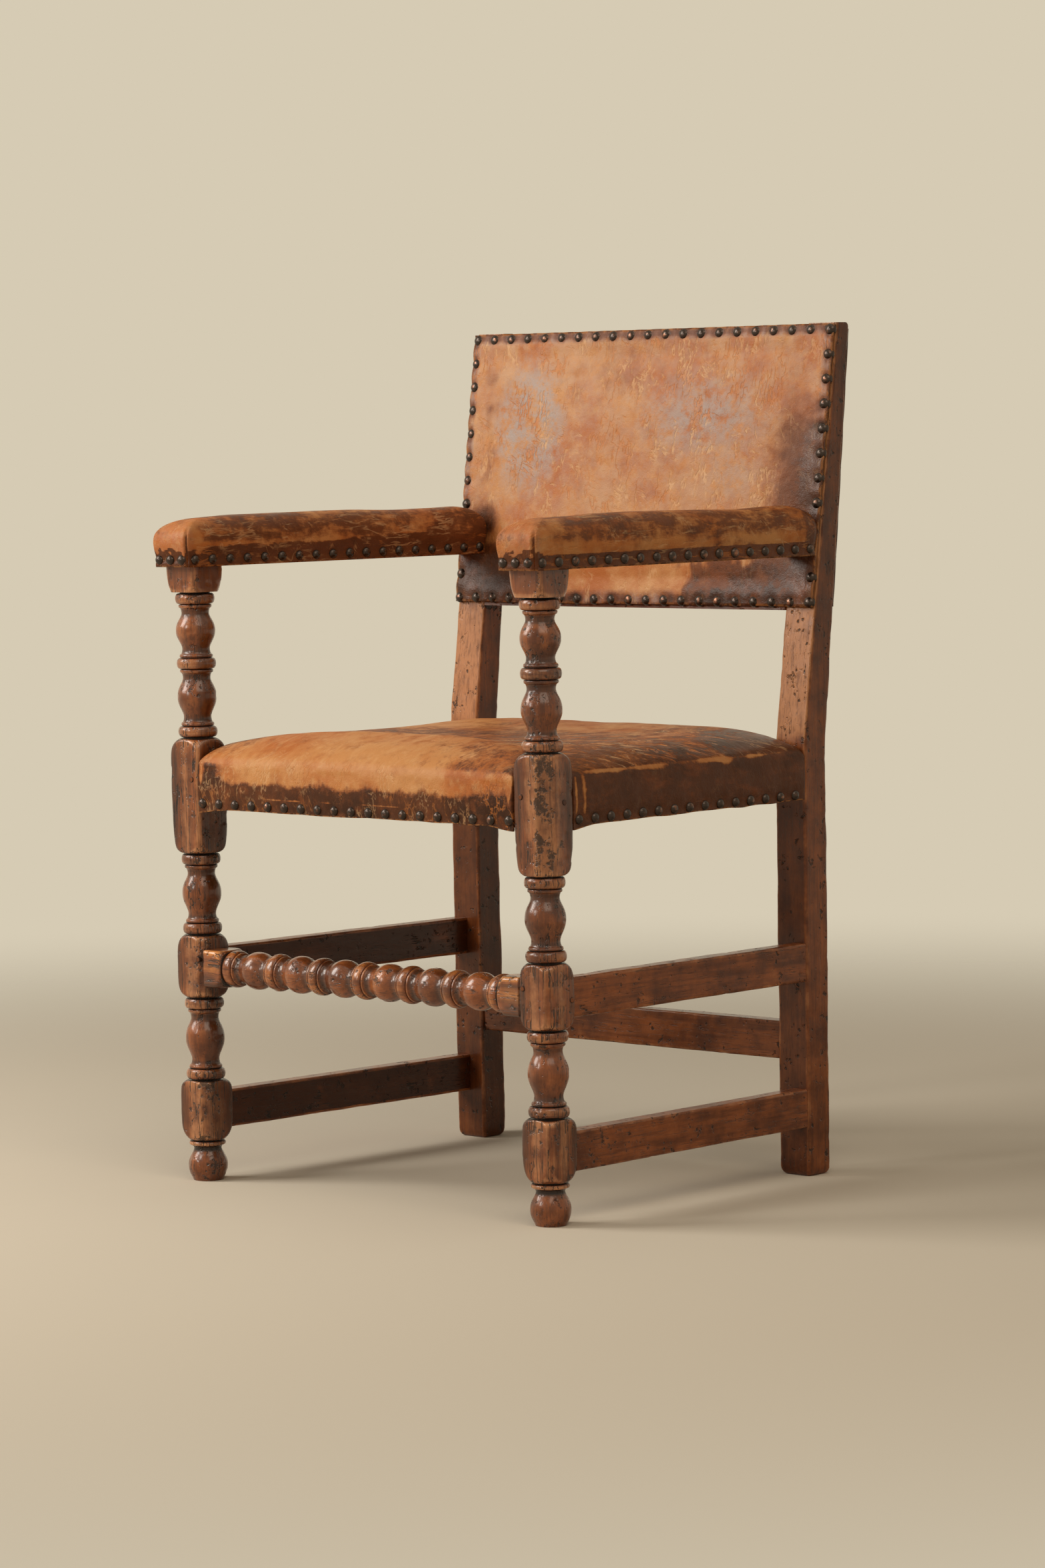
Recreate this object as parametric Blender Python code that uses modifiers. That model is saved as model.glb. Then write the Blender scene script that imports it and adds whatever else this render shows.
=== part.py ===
"""Bobbin armchair: a turned and pegged oak frame, upholstered in leather with domed nails.

Units are metres, +Z is up and the chair faces -Y. Lengths along Y are measured from the axis
of the front legs, and the empty that carries every piece centres the chair on the origin.
Pieces that come in pairs are drawn on the chair's right, at +X, and mirrored for its left.
"""

import math

import bmesh
import bpy
from mathutils import Matrix, Vector

# Joints and fits
GAP = 0.0003
SOFT_GAP = 0.0007
WELD = 0.00001
TENON_THICKNESS = 0.010
TENON_LENGTH = 0.020
TENON_SHOULDER = 0.005
BACK_TENON_THICKNESS = 0.008
ARM_PIN_RADIUS = 0.011
ARM_PIN_LENGTH = 0.013

# Front legs, from the floor up
LEG_AXIS_X = 0.251
BLOCK = 0.0415
SEAT_BLOCK = 0.043
FOOT_HEIGHT = 0.0438
LOW_BLOCK_HEIGHT = 0.0637
LOW_TURNING_HEIGHT = 0.0897
MIDDLE_BLOCK_HEIGHT = 0.0663
MIDDLE_TURNING_HEIGHT = 0.0880
SEAT_BLOCK_HEIGHT = 0.1218
UPPER_TURNING_HEIGHT = 0.1552
ARM_BLOCK_HEIGHT = 0.0272
BLOCK_SHOULDER = 0.010
SEAT_BLOCK_SHOULDER = 0.024
SHOULDER_INSET = 0.0005
SEAT_WORN_ARRIS = 0.0135
WORN_ARRIS = 0.0055
SHARP_ARRIS = 0.0015
SHOULDER_SIDES = 16

# Turning of the legs: balls between beads, with a neck, a cove and a fillet by each ball
BALL_RADIUS = 0.021
BALL_FULLNESS = 2.35
NECK_RADIUS = 0.0148
BEAD_RADIUS = 0.0211
BEAD_HEIGHT = 0.0115
QUIRK_RADIUS = 0.0168
QUIRK_HEIGHT = 0.0012
FILLET_RADIUS = 0.0178
FILLET_HEIGHT = 0.004
COVE_HEIGHT = 0.0058
UPPER_BEAD_RISE = 0.0018
FOOT_BEAD_RADIUS = 0.0198
FOOT_BEAD_HEIGHT = 0.005
FOOT_BALL_CENTRE = 0.0155
TURNING_SIDES = 12

# Front stretcher, turned with six balls and seven reels
BOBBIN_RADIUS = 0.020
BOBBIN_NECK_RADIUS = 0.0145
BOBBIN_REEL_LENGTH = 0.012
BOBBIN_FILLET_LENGTH = 0.003
BOBBIN_BALLS = 6
BOBBIN_RUN = 0.4044
BOBBIN_SHIFT = -0.0025
BOBBIN_BLOCK = 0.040
BOBBIN_DROP = 0.001

# Plain stretchers
STRETCHER_HEIGHT = 0.041
STRETCHER_THICKNESS = 0.020
STRETCHER_DROP = 0.0025
STRETCHER_FRONT_INSET = 0.004
STRETCHER_REAR_INSET = 0.001
BACK_STRETCHER_CENTRE = 0.1425
BACK_STRETCHER_INSET = 0.004

# Pegs through the front legs' mortises, placed from each joint's shoulder and middle
PEG_RADIUS = 0.003
PEG_LENGTH = 0.026
PEG_PROUD = 0.0006
PEG_SIDES = 8
SEAT_FRONT_PEG = (0.0105, 0.0100)
SEAT_SIDE_PEG = (0.0137, 0.0040)
MIDDLE_FRONT_PEG = (0.0070, 0.0095)
MIDDLE_SIDE_PEG = (0.0065, -0.0015)

# Rear legs
HEIGHT = 0.900
DEPTH = 0.3916
POST_WIDTH = 0.041
POST_DEPTH = 0.0356
POST_TOP_DEPTH = 0.0195
REAR_HALF_WIDTH = 0.2586
POST_SPLAY = 0.004
KINK_HEIGHT = 0.459
KINK_LENGTH = 0.050
LEAN = 0.0616
POST_EDGE = 0.002
POST_TOP_ROUNDING = 0.005

# Seat
SEAT_EDGE = 0.452
SEAT_CROWN = 0.030
SEAT_DISH = 0.004
SEAT_CROWN_POWER = 6.5
SEAT_SIDE_BULGE = 0.0012
SEAT_SKIRT = 0.052
SEAT_RAIL_HEIGHT = 0.040
SEAT_RAIL_THICKNESS = 0.022
SEAT_RAIL_TOP = 0.4405
BACK_SEAT_RAIL_INSET = 0.006
SEAT_NOTCH_GAP = 0.0005
WEBBING_WIDTH = 0.050
WEBBING_THICKNESS = 0.0012
WEBBING_PITCH = 0.105
WEBBING_MARGIN = 0.006
CANVAS = 0.0006
CANVAS_MARGIN = 0.003
LEATHER = 0.002

# Upholstered back
BACK_RAIL_HEIGHT = 0.042
BACK_RAIL_DROP = 0.002
BACK_BOTTOM_RAIL_FOOT = 0.598
BACK_RAIL_SLACK = 0.0004
BACK_LEATHER_DROP = 0.001
BACK_LEATHER_FOOT = 0.602
BACK_SIDE_MARGIN = 0.0008
BACK_CROWN = 0.007
BACK_CROWN_POWER = 5.0
BACK_PADDING_SHARE = 0.89
OUTSIDE_BACK_DROP = 0.007
OUTSIDE_BACK_FOOT = 0.601
OUTSIDE_BACK_MARGIN = 0.002

# Arms
ARM_FRONT = 0.034
ARM_FRONT_WIDTH = 0.052
ARM_REAR_WIDTH = 0.0415
ARM_BOARD_THICKNESS = 0.020
ARM_PAD_HEIGHT = 0.0535
ARM_SIDE_HEIGHT = 0.027
ARM_NAIL_BAND = 0.015
ARM_BULGE = 0.0025
ARM_ROUND_POWER = 2.3
ARM_FRONT_POWER = 6.5
ARM_REAR_POWER = 12.0
ARM_REAR_DROP = 0.35

# Domed nails, set out in rows at an even pitch
NAIL_RADIUS = 0.0048
NAIL_HEIGHT = 0.0038
NAIL_PITCH = 0.0253
OUTSIDE_NAIL_PITCH = 0.0500
NAIL_SIDES = 6
NAIL_SINK = 0.0005
NAIL_EDGE = 0.0060
BACK_NAIL_EDGE = 0.0042
ARM_NAIL_HEIGHT = 0.0073
ARM_NAIL_END = 0.0115
ARM_FRONT_NAIL_SPREAD = 0.0170
SEAT_SIDE_NAIL_FRONT = 0.0300
SEAT_SIDE_NAIL_REAR = 0.0166
SEAT_FRONT_NAIL_END = 0.0062
SEAT_REAR_NAIL_END = 0.0095

# Heights of the front legs' blocks, and of what stands on the legs
LOW_BLOCK = (FOOT_HEIGHT, FOOT_HEIGHT + LOW_BLOCK_HEIGHT)
MIDDLE_BLOCK = (LOW_BLOCK[1] + LOW_TURNING_HEIGHT,
                LOW_BLOCK[1] + LOW_TURNING_HEIGHT + MIDDLE_BLOCK_HEIGHT)
SEAT_LEG_BLOCK = (MIDDLE_BLOCK[1] + MIDDLE_TURNING_HEIGHT,
                  MIDDLE_BLOCK[1] + MIDDLE_TURNING_HEIGHT + SEAT_BLOCK_HEIGHT)
ARM_BLOCK = (SEAT_LEG_BLOCK[1] + UPPER_TURNING_HEIGHT,
             SEAT_LEG_BLOCK[1] + UPPER_TURNING_HEIGHT + ARM_BLOCK_HEIGHT)
ARM_UNDERSIDE = ARM_BLOCK[1] + GAP
ARM_BOARD_TOP = ARM_UNDERSIDE + ARM_BOARD_THICKNESS

# Places that several pieces share
FRONT_FACE = -SEAT_BLOCK / 2
FRONT_HALF_WIDTH = LEG_AXIS_X + SEAT_BLOCK / 2
LINING = LEATHER + GAP
SEAT_REAR = DEPTH + BACK_SEAT_RAIL_INSET + SEAT_RAIL_THICKNESS + LINING
SEAT_RAIL_CENTRE = SEAT_RAIL_TOP - SEAT_RAIL_HEIGHT / 2
MIDDLE_BLOCK_CENTRE = (MIDDLE_BLOCK[0] + MIDDLE_BLOCK[1]) / 2
LOW_BLOCK_CENTRE = (LOW_BLOCK[0] + LOW_BLOCK[1]) / 2
BOBBIN_CENTRE = MIDDLE_BLOCK_CENTRE - BOBBIN_DROP
UPPER_WEBBING = SEAT_RAIL_TOP + GAP + WEBBING_THICKNESS + GAP
SEAT_CANVAS_FOOT = UPPER_WEBBING + WEBBING_THICKNESS + GAP
SEAT_STUFFING_FOOT = SEAT_CANVAS_FOOT + CANVAS + GAP
BACK_TOP_RAIL_TOP = HEIGHT - BACK_RAIL_DROP
BACK_LEATHER_TOP = HEIGHT - BACK_LEATHER_DROP
OUTSIDE_BACK_TOP = HEIGHT - OUTSIDE_BACK_DROP
BACK_CANVAS_FACE = GAP + CANVAS
BACK_LEATHER_SEAT = BACK_CANVAS_FACE + GAP
BACK_COVER = BACK_LEATHER_SEAT + LEATHER

# Materials: name, colour, roughness, metallic
OAK = ("oak", (0.155, 0.062, 0.030), 0.38, 0.0)
TAN_LEATHER = ("leather", (0.430, 0.185, 0.072), 0.45, 0.0)
CLOTH = ("canvas", (0.420, 0.345, 0.240), 0.90, 0.0)
HAIR = ("stuffing", (0.300, 0.230, 0.150), 0.95, 0.0)


def mix(start, end, share):
    return start + (end - start) * share


def front_of_post(z):
    """Y of the posts' front faces: plumb to the kink, then leaning back."""
    slope = LEAN / (HEIGHT - KINK_HEIGHT)
    above = z - KINK_HEIGHT
    half = KINK_LENGTH / 2
    if above <= -half:
        return DEPTH
    if above >= half:
        return DEPTH + slope * above
    return DEPTH + slope * (above + half) ** 2 / (2 * KINK_LENGTH)


def depth_of_post(z):
    """Front-to-back thickness of the posts, which taper above the kink."""
    above = max(0.0, z - KINK_HEIGHT) / (HEIGHT - KINK_HEIGHT)
    return mix(POST_DEPTH, POST_TOP_DEPTH, above)


def rear_of_post(z):
    return front_of_post(z) + depth_of_post(z)


def outside_of_post(z):
    return REAR_HALF_WIDTH + POST_SPLAY * z / HEIGHT


def inside_of_post(z):
    return outside_of_post(z) - POST_WIDTH


def seat_half_width(y):
    """Half the width over the seat leather, flush with the front legs and the posts."""
    share = (y - FRONT_FACE) / (DEPTH - FRONT_FACE)
    return mix(FRONT_HALF_WIDTH, outside_of_post(SEAT_RAIL_CENTRE), share)


def clear_scene():
    for item in list(bpy.data.objects):
        bpy.data.objects.remove(item, do_unlink=True)


def make_collection(name):
    collection = bpy.data.collections.new(name)
    bpy.context.scene.collection.children.link(collection)
    return collection


def make_carrier():
    """Empty that carries the chair and centres its reach, from arm nails to back nails."""
    front = -ARM_FRONT - NAIL_HEIGHT
    rear = rear_of_post(OUTSIDE_BACK_TOP - NAIL_EDGE) + LINING + NAIL_HEIGHT
    carrier = bpy.data.objects.new("chair", None)
    carrier.location = (0.0, -(front + rear) / 2, 0.0)
    bpy.context.scene.collection.objects.link(carrier)
    return carrier


clear_scene()
PARTS = make_collection("bobbin_armchair")
CUTTERS = make_collection("bobbin_armchair_cutters")
CHAIR = make_carrier()


def make_material(look):
    name, colour, roughness, metallic = look
    material = bpy.data.materials.get(name)
    if material:
        return material
    material = bpy.data.materials.new(name)
    material.use_nodes = True
    shader = material.node_tree.nodes["Principled BSDF"]
    shader.inputs["Base Color"].default_value = (*colour, 1.0)
    shader.inputs["Roughness"].default_value = roughness
    shader.inputs["Metallic"].default_value = metallic
    material.diffuse_color = (*colour, 1.0)
    return material


def place_mesh(name, mesh_edit, collection):
    mesh = bpy.data.meshes.new(name)
    mesh_edit.to_mesh(mesh)
    mesh_edit.free()
    item = bpy.data.objects.new(name, mesh)
    collection.objects.link(item)
    item.parent = CHAIR
    return item


def make_piece(name, mesh_edit, look, smooth=False):
    """A piece of the chair, from an edited mesh in the chair's own coordinates."""
    piece = place_mesh(name, mesh_edit, PARTS)
    piece.data.materials.append(make_material(look))
    if smooth:
        piece.data.shade_smooth()
        piece.data.set_sharp_from_angle(angle=math.radians(40))
    return piece


def make_cutter(name, mesh_edit):
    cutter = place_mesh(name, mesh_edit, CUTTERS)
    cutter.hide_render = True
    cutter.display_type = "WIRE"
    return cutter


def add_boolean(piece, operation, tool):
    modifier = piece.modifiers.new(tool.name, "BOOLEAN")
    modifier.operation = operation
    modifier.object = tool
    modifier.solver = "EXACT"


def join(piece, purpose, mesh_edit):
    add_boolean(piece, "UNION", make_cutter(f"{piece.name}_{purpose}", mesh_edit))


def cut(piece, purpose, mesh_edit):
    add_boolean(piece, "DIFFERENCE", make_cutter(f"{piece.name}_{purpose}", mesh_edit))


def add_turning(item, axis, sides):
    modifier = item.modifiers.new("turning", "SCREW")
    modifier.axis = axis
    modifier.angle = math.tau
    modifier.steps = sides
    modifier.render_steps = sides
    modifier.use_merge_vertices = True
    modifier.merge_threshold = WELD


def add_leather_thickness(piece):
    modifier = piece.modifiers.new("leather", "SOLIDIFY")
    modifier.thickness = LEATHER
    modifier.offset = -1.0
    modifier.use_even_offset = True


def add_box(mesh_edit, low, high, spare=0.0):
    """A box between two corners, grown on every side by the spare."""
    low = Vector(low) - Vector((spare, spare, spare))
    high = Vector(high) + Vector((spare, spare, spare))
    place = Matrix.Translation((low + high) / 2) @ Matrix.Diagonal((*(high - low), 1.0))
    bmesh.ops.create_cube(mesh_edit, size=1.0, matrix=place)


def add_cylinder(mesh_edit, radius, start, end, sides):
    start = Vector(start)
    run = Vector(end) - start
    turn = run.to_track_quat("Z", "Y").to_matrix().to_4x4()
    bmesh.ops.create_cone(
        mesh_edit, cap_ends=True, segments=sides, radius1=radius, radius2=radius,
        depth=run.length, matrix=Matrix.Translation(start + run / 2) @ turn)


def add_profile(mesh_edit, points):
    """An open chain of (radius, height) points at +X, top to bottom, for a turning."""
    verts = [mesh_edit.verts.new((radius, 0.0, height)) for radius, height in points]
    for upper, lower in zip(verts, verts[1:]):
        mesh_edit.edges.new((upper, lower))


def add_mesh(mesh_edit, other):
    """Adds one edited mesh to another and frees it."""
    holder = bpy.data.meshes.new("holder")
    other.to_mesh(holder)
    other.free()
    mesh_edit.from_mesh(holder)
    bpy.data.meshes.remove(holder)


def move_points(mesh_edit, rule):
    for vert in mesh_edit.verts:
        vert.co = Vector(rule(*vert.co))


def mirror_to_side(mesh_edit, side):
    """Leaves what is drawn on the right as it is, or mirrors it for the left."""
    if side == "left":
        bmesh.ops.scale(mesh_edit, vec=(-1.0, 1.0, 1.0), verts=mesh_edit.verts)
        bmesh.ops.reverse_faces(mesh_edit, faces=mesh_edit.faces)


def side_sign(side):
    return 1 if side == "right" else -1


def runs_along(edge, axis):
    way = edge.verts[1].co - edge.verts[0].co
    return abs(way[axis]) > 0.99 * way.length


def bevel_edges(mesh_edit, chosen, width):
    bmesh.ops.bevel(
        mesh_edit, geom=[edge for edge in mesh_edit.edges if chosen(edge)], offset=width,
        offset_type="OFFSET", segments=1, profile=0.5, affect="EDGES", clamp_overlap=True)


def bead_points(top, height, radius):
    """Half-round bead between two quirks, as (radius, height) points going down."""
    points = []
    for share in (-1.0, -0.72, 0.0, 0.72, 1.0):
        swell = math.sqrt(1.0 - share * share)
        points.append((mix(QUIRK_RADIUS, radius, swell), top - height * (1 + share) / 2))
    return points


def ball_radius_at(offset, reach, radius, neck):
    """Radius of a ball that flows into its necks, at a distance from its middle."""
    return mix(neck, radius, (1 - abs(offset / reach) ** BALL_FULLNESS) ** 2)


def ball_points(top, length, radius, neck):
    """Neck, ball and neck, as (radius, height) points going down."""
    reach = length / 2
    offsets = [reach * step / 3 for step in range(-3, 4)]
    return [(ball_radius_at(offset, reach, radius, neck), top - reach - offset)
            for offset in offsets]


def turned_run(top, length, balls, sizes, rise=0.0):
    """Beads at both ends and between the balls, from one block's face down to the next.

    The end points lie just inside the blocks. A rise moves the middle bead of two balls up.
    """
    radius, neck, bead_radius, bead_height, fillet_height = sizes
    fixed = 2 * QUIRK_HEIGHT + (balls + 1) * bead_height + 2 * balls * fillet_height
    zone = (length - fixed) / balls
    zones = [zone] * balls
    zones[0] -= rise
    zones[-1] += rise
    z = top - QUIRK_HEIGHT
    points = [(QUIRK_RADIUS, top + SHARP_ARRIS)] + bead_points(z, bead_height, bead_radius)
    z -= bead_height
    for zone in zones:
        points += [(FILLET_RADIUS, z), (FILLET_RADIUS, z - fillet_height)]
        z -= fillet_height
        points += ball_points(z - COVE_HEIGHT, zone - 2 * COVE_HEIGHT, radius, neck)
        z -= zone
        points += [(FILLET_RADIUS, z), (FILLET_RADIUS, z - fillet_height)]
        z -= fillet_height
        points += bead_points(z, bead_height, bead_radius)
        z -= bead_height
    return points + [(QUIRK_RADIUS, z - QUIRK_HEIGHT - SHARP_ARRIS)]


def foot_points():
    """Thin bead, neck and flattened ball under a front leg's lowest block."""
    bead_top = LOW_BLOCK[0] - QUIRK_HEIGHT
    points = [(QUIRK_RADIUS, LOW_BLOCK[0] + SHARP_ARRIS)]
    points += bead_points(bead_top, FOOT_BEAD_HEIGHT, FOOT_BEAD_RADIUS)
    reach = bead_top - FOOT_BEAD_HEIGHT - COVE_HEIGHT / 2 - FOOT_BALL_CENTRE
    for share in (1.0, 0.67, 0.33, 0.0, -0.33, -0.6):
        radius = ball_radius_at(reach * share, reach, BALL_RADIUS, NECK_RADIUS)
        points.append((radius, FOOT_BALL_CENTRE + reach * share))
    sole = ball_radius_at(min(FOOT_BALL_CENTRE, reach), reach, BALL_RADIUS, NECK_RADIUS)
    return points + [(sole, 0.0), (0.0, 0.0)]


def leg_profile():
    """Outline of a front leg, from the pin that enters the arm down to the floor."""
    sizes = (BALL_RADIUS, NECK_RADIUS, BEAD_RADIUS, BEAD_HEIGHT, FILLET_HEIGHT)
    pin_top = ARM_BLOCK[1] + ARM_PIN_LENGTH
    pin_foot = ARM_BLOCK[1] - SHARP_ARRIS
    points = [(0.0, pin_top), (ARM_PIN_RADIUS, pin_top), (ARM_PIN_RADIUS, pin_foot),
              (QUIRK_RADIUS, pin_foot)]
    points += turned_run(ARM_BLOCK[0], UPPER_TURNING_HEIGHT, 2, sizes, UPPER_BEAD_RISE)
    points += turned_run(SEAT_LEG_BLOCK[0], MIDDLE_TURNING_HEIGHT, 1, sizes)
    points += turned_run(MIDDLE_BLOCK[0], LOW_TURNING_HEIGHT, 1, sizes)
    return points + foot_points()


def square_block(width, foot, top, worn):
    """A block whose front outer arris is worn flat and whose other arrises are sharp."""
    block = bmesh.new()
    half = width / 2
    add_box(block, (-half, -half, foot), (half, half, top))

    def is_outer_front(edge):
        return runs_along(edge, 2) and edge.verts[0].co.x > 0 > edge.verts[0].co.y

    def is_square(edge):
        return runs_along(edge, 2) and edge.calc_face_angle() > math.radians(60)

    bevel_edges(block, is_outer_front, worn)
    bevel_edges(block, is_square, SHARP_ARRIS)
    return block


def shoulder_points(width, foot, top, shoulder):
    """Barrel that rounds over a block's corners at both ends, as turning leaves them."""
    inner = width / 2 - SHOULDER_INSET
    outer = width / math.sqrt(2) + SHOULDER_INSET
    rounding = [(mix(inner, outer, math.sqrt(1 - (1 - share) ** 2)), share * shoulder)
                for share in (0.0, 0.25, 1.0)]
    points = [(0.0, top)] + [(radius, top - down) for radius, down in rounding]
    points += [(radius, foot + up) for radius, up in reversed(rounding)]
    return points + [(0.0, foot)]


def leg_blocks(side):
    """The four squares of a front leg, each cut to its turned shoulders."""
    squares = bmesh.new()
    barrels = bmesh.new()
    for width, (foot, top), shoulder, worn in (
            (BLOCK, LOW_BLOCK, BLOCK_SHOULDER, WORN_ARRIS),
            (BLOCK, MIDDLE_BLOCK, BLOCK_SHOULDER, WORN_ARRIS),
            (SEAT_BLOCK, SEAT_LEG_BLOCK, SEAT_BLOCK_SHOULDER, SEAT_WORN_ARRIS)):
        add_mesh(squares, square_block(width, foot - SHARP_ARRIS, top + SHARP_ARRIS, worn))
        add_profile(barrels, shoulder_points(width, foot, top, shoulder))
    add_mesh(squares, square_block(BLOCK, ARM_BLOCK[0] - SHARP_ARRIS, ARM_BLOCK[1], SHARP_ARRIS))
    above = ARM_BLOCK[1] + BLOCK_SHOULDER
    add_profile(barrels, shoulder_points(BLOCK, ARM_BLOCK[0], above, BLOCK_SHOULDER))
    mirror_to_side(squares, side)
    blocks = make_cutter(f"front_leg_{side}_blocks", squares)
    shoulders = make_cutter(f"front_leg_{side}_shoulders", barrels)
    for tool in (blocks, shoulders):
        tool.location.x = side_sign(side) * LEG_AXIS_X
    shoulders.rotation_euler.z = math.pi / SHOULDER_SIDES
    add_turning(shoulders, "Z", SHOULDER_SIDES)
    add_boolean(blocks, "INTERSECT", shoulders)
    return blocks


def build_front_leg(side):
    """One turning with four square blocks, mortised and drilled for its pegs."""
    outline = bmesh.new()
    add_profile(outline, leg_profile())
    leg = make_piece(f"front_leg_{side}", outline, OAK)
    leg.location.x = side_sign(side) * LEG_AXIS_X
    add_turning(leg, "Z", TURNING_SIDES)
    add_boolean(leg, "UNION", leg_blocks(side))
    mortises = bmesh.new()
    for kind in ("seat", "upper", "lower"):
        add_mesh(mortises, side_tenons(kind, side, GAP))
    add_mesh(mortises, cross_tenons("seat_front", GAP))
    add_mesh(mortises, bobbin_tenons(GAP))
    tool = make_cutter(f"front_leg_{side}_mortises", mortises)
    add_boolean(leg, "DIFFERENCE", tool)
    add_boolean(leg, "DIFFERENCE", PEG_HOLES[side])


def peg_ends(spare):
    """Tip and head of the right leg's pegs: two driven from the front, two from outside."""
    ends = {}
    middle = (BOBBIN_CENTRE, MIDDLE_BLOCK_CENTRE - STRETCHER_DROP)
    seat = (SEAT_RAIL_CENTRE, SEAT_RAIL_CENTRE)
    for joint, width, heights, front_peg, side_peg in (
            ("seat", SEAT_BLOCK, seat, SEAT_FRONT_PEG, SEAT_SIDE_PEG),
            ("middle", BLOCK, middle, MIDDLE_FRONT_PEG, MIDDLE_SIDE_PEG)):
        head = width / 2 + PEG_PROUD + spare
        tip = width / 2 - PEG_LENGTH - spare
        x = LEG_AXIS_X - width / 2 + front_peg[0]
        z = heights[0] + front_peg[1]
        ends[f"{joint}_front"] = ((x, -tip, z), (x, -head, z))
        y = width / 2 - side_peg[0]
        z = heights[1] + side_peg[1]
        ends[f"{joint}_side"] = ((LEG_AXIS_X + tip, y, z), (LEG_AXIS_X + head, y, z))
    return ends


def build_pegs(side):
    for place, (tip, head) in peg_ends(0.0).items():
        peg = bmesh.new()
        add_cylinder(peg, PEG_RADIUS, tip, head, PEG_SIDES)
        mirror_to_side(peg, side)
        make_piece(f"peg_{place}_{side}", peg, OAK)


def make_peg_holes(side):
    """Cutter that bores one leg, and the tenons in it, for its pegs."""
    holes = bmesh.new()
    for tip, head in peg_ends(GAP).values():
        add_cylinder(holes, PEG_RADIUS + GAP, tip, head, PEG_SIDES)
    mirror_to_side(holes, side)
    return make_cutter(f"peg_holes_{side}", holes)


PEG_HOLES = {side: make_peg_holes(side) for side in ("left", "right")}


def bobbin_tenons(spare):
    tenons = bmesh.new()
    half_height = BOBBIN_BLOCK / 2 - TENON_SHOULDER
    shoulder = LEG_AXIS_X - BLOCK / 2
    for start, end in ((-shoulder - TENON_LENGTH, TENON_SHOULDER - shoulder),
                       (shoulder - TENON_SHOULDER, shoulder + TENON_LENGTH)):
        add_box(tenons, (start, -TENON_THICKNESS / 2, BOBBIN_CENTRE - half_height),
                (end, TENON_THICKNESS / 2, BOBBIN_CENTRE + half_height), spare)
    return tenons


def build_bobbin_stretcher():
    """Balls and reels turned along X between two square ends."""
    sizes = (BOBBIN_RADIUS, BOBBIN_NECK_RADIUS, BOBBIN_RADIUS, BOBBIN_REEL_LENGTH,
             BOBBIN_FILLET_LENGTH)
    end = LEG_AXIS_X - BLOCK / 2 - GAP
    left = BOBBIN_SHIFT - BOBBIN_RUN / 2
    right = BOBBIN_SHIFT + BOBBIN_RUN / 2
    core = end - SHARP_ARRIS
    points = [(0.0, core), (QUIRK_RADIUS, core)]
    points += turned_run(right, BOBBIN_RUN, BOBBIN_BALLS, sizes)
    points += [(QUIRK_RADIUS, -core), (0.0, -core)]
    outline = bmesh.new()
    add_profile(outline, points)
    quarter_turn = Matrix.Rotation(math.pi / 2, 4, "Y")
    bmesh.ops.transform(outline, matrix=quarter_turn, verts=outline.verts)
    stretcher = make_piece("bobbin_stretcher", outline, OAK)
    stretcher.location.z = BOBBIN_CENTRE
    add_turning(stretcher, "X", TURNING_SIDES)

    half = BOBBIN_BLOCK / 2
    blocks = bmesh.new()
    add_box(blocks, (-end, -half, BOBBIN_CENTRE - half), (left, half, BOBBIN_CENTRE + half))
    add_box(blocks, (right, -half, BOBBIN_CENTRE - half), (end, half, BOBBIN_CENTRE + half))
    bevel_edges(blocks, lambda edge: runs_along(edge, 0), SHARP_ARRIS)
    join(stretcher, "blocks", blocks)
    join(stretcher, "tenons", bobbin_tenons(0.0))
    for holes in PEG_HOLES.values():
        add_boolean(stretcher, "DIFFERENCE", holes)


def side_bar_sizes(kind):
    """Centre height, height, thickness, front Y and both outer X of a right-hand side bar."""
    if kind == "seat":
        start = SEAT_BLOCK / 2
        return (SEAT_RAIL_CENTRE, SEAT_RAIL_HEIGHT, SEAT_RAIL_THICKNESS, start,
                seat_half_width(start) - LINING, seat_half_width(DEPTH) - LINING)
    block_centre = MIDDLE_BLOCK_CENTRE if kind == "upper" else LOW_BLOCK_CENTRE
    centre = block_centre - STRETCHER_DROP
    return (centre, STRETCHER_HEIGHT, STRETCHER_THICKNESS, BLOCK / 2,
            LEG_AXIS_X + BLOCK / 2 - STRETCHER_FRONT_INSET,
            outside_of_post(centre) - STRETCHER_REAR_INSET)


def side_bar_mesh(kind, side, boxes, spare=0.0):
    """Boxes across a side bar, as (inner x, y, z) to (outer x, y, z), splayed along it."""
    _, _, _, start, front_x, rear_x = side_bar_sizes(kind)
    bar = bmesh.new()
    for low, high in boxes:
        add_box(bar, low, high, spare)
    if not spare and len(boxes) == 1:
        bevel_edges(bar, lambda edge: runs_along(edge, 1), SHARP_ARRIS)
    move_points(bar, lambda x, y, z: (
        x + mix(front_x, rear_x, (y - start) / (DEPTH - start)), y, z))
    mirror_to_side(bar, side)
    return bar


def side_tenons(kind, side, spare):
    centre, height, thickness, start, _, _ = side_bar_sizes(kind)
    half_height = height / 2 - TENON_SHOULDER
    inner = -(thickness + TENON_THICKNESS) / 2
    outer = inner + TENON_THICKNESS
    ends = ((start - TENON_LENGTH, start + TENON_SHOULDER),
            (DEPTH - TENON_SHOULDER, DEPTH + TENON_LENGTH))
    return side_bar_mesh(kind, side, [
        ((inner, near, centre - half_height), (outer, far, centre + half_height))
        for near, far in ends], spare)


def build_side_bar(name, kind, side):
    """Seat rail or stretcher from a front leg to a post, tenoned into both."""
    centre, height, thickness, start, _, _ = side_bar_sizes(kind)
    body = side_bar_mesh(kind, side, [
        ((-thickness, start + GAP, centre - height / 2), (0.0, DEPTH - GAP, centre + height / 2))])
    bar = make_piece(name, body, OAK)
    join(bar, "tenons", side_tenons(kind, side, 0.0))
    if kind != "lower":
        add_boolean(bar, "DIFFERENCE", PEG_HOLES[side])


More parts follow.
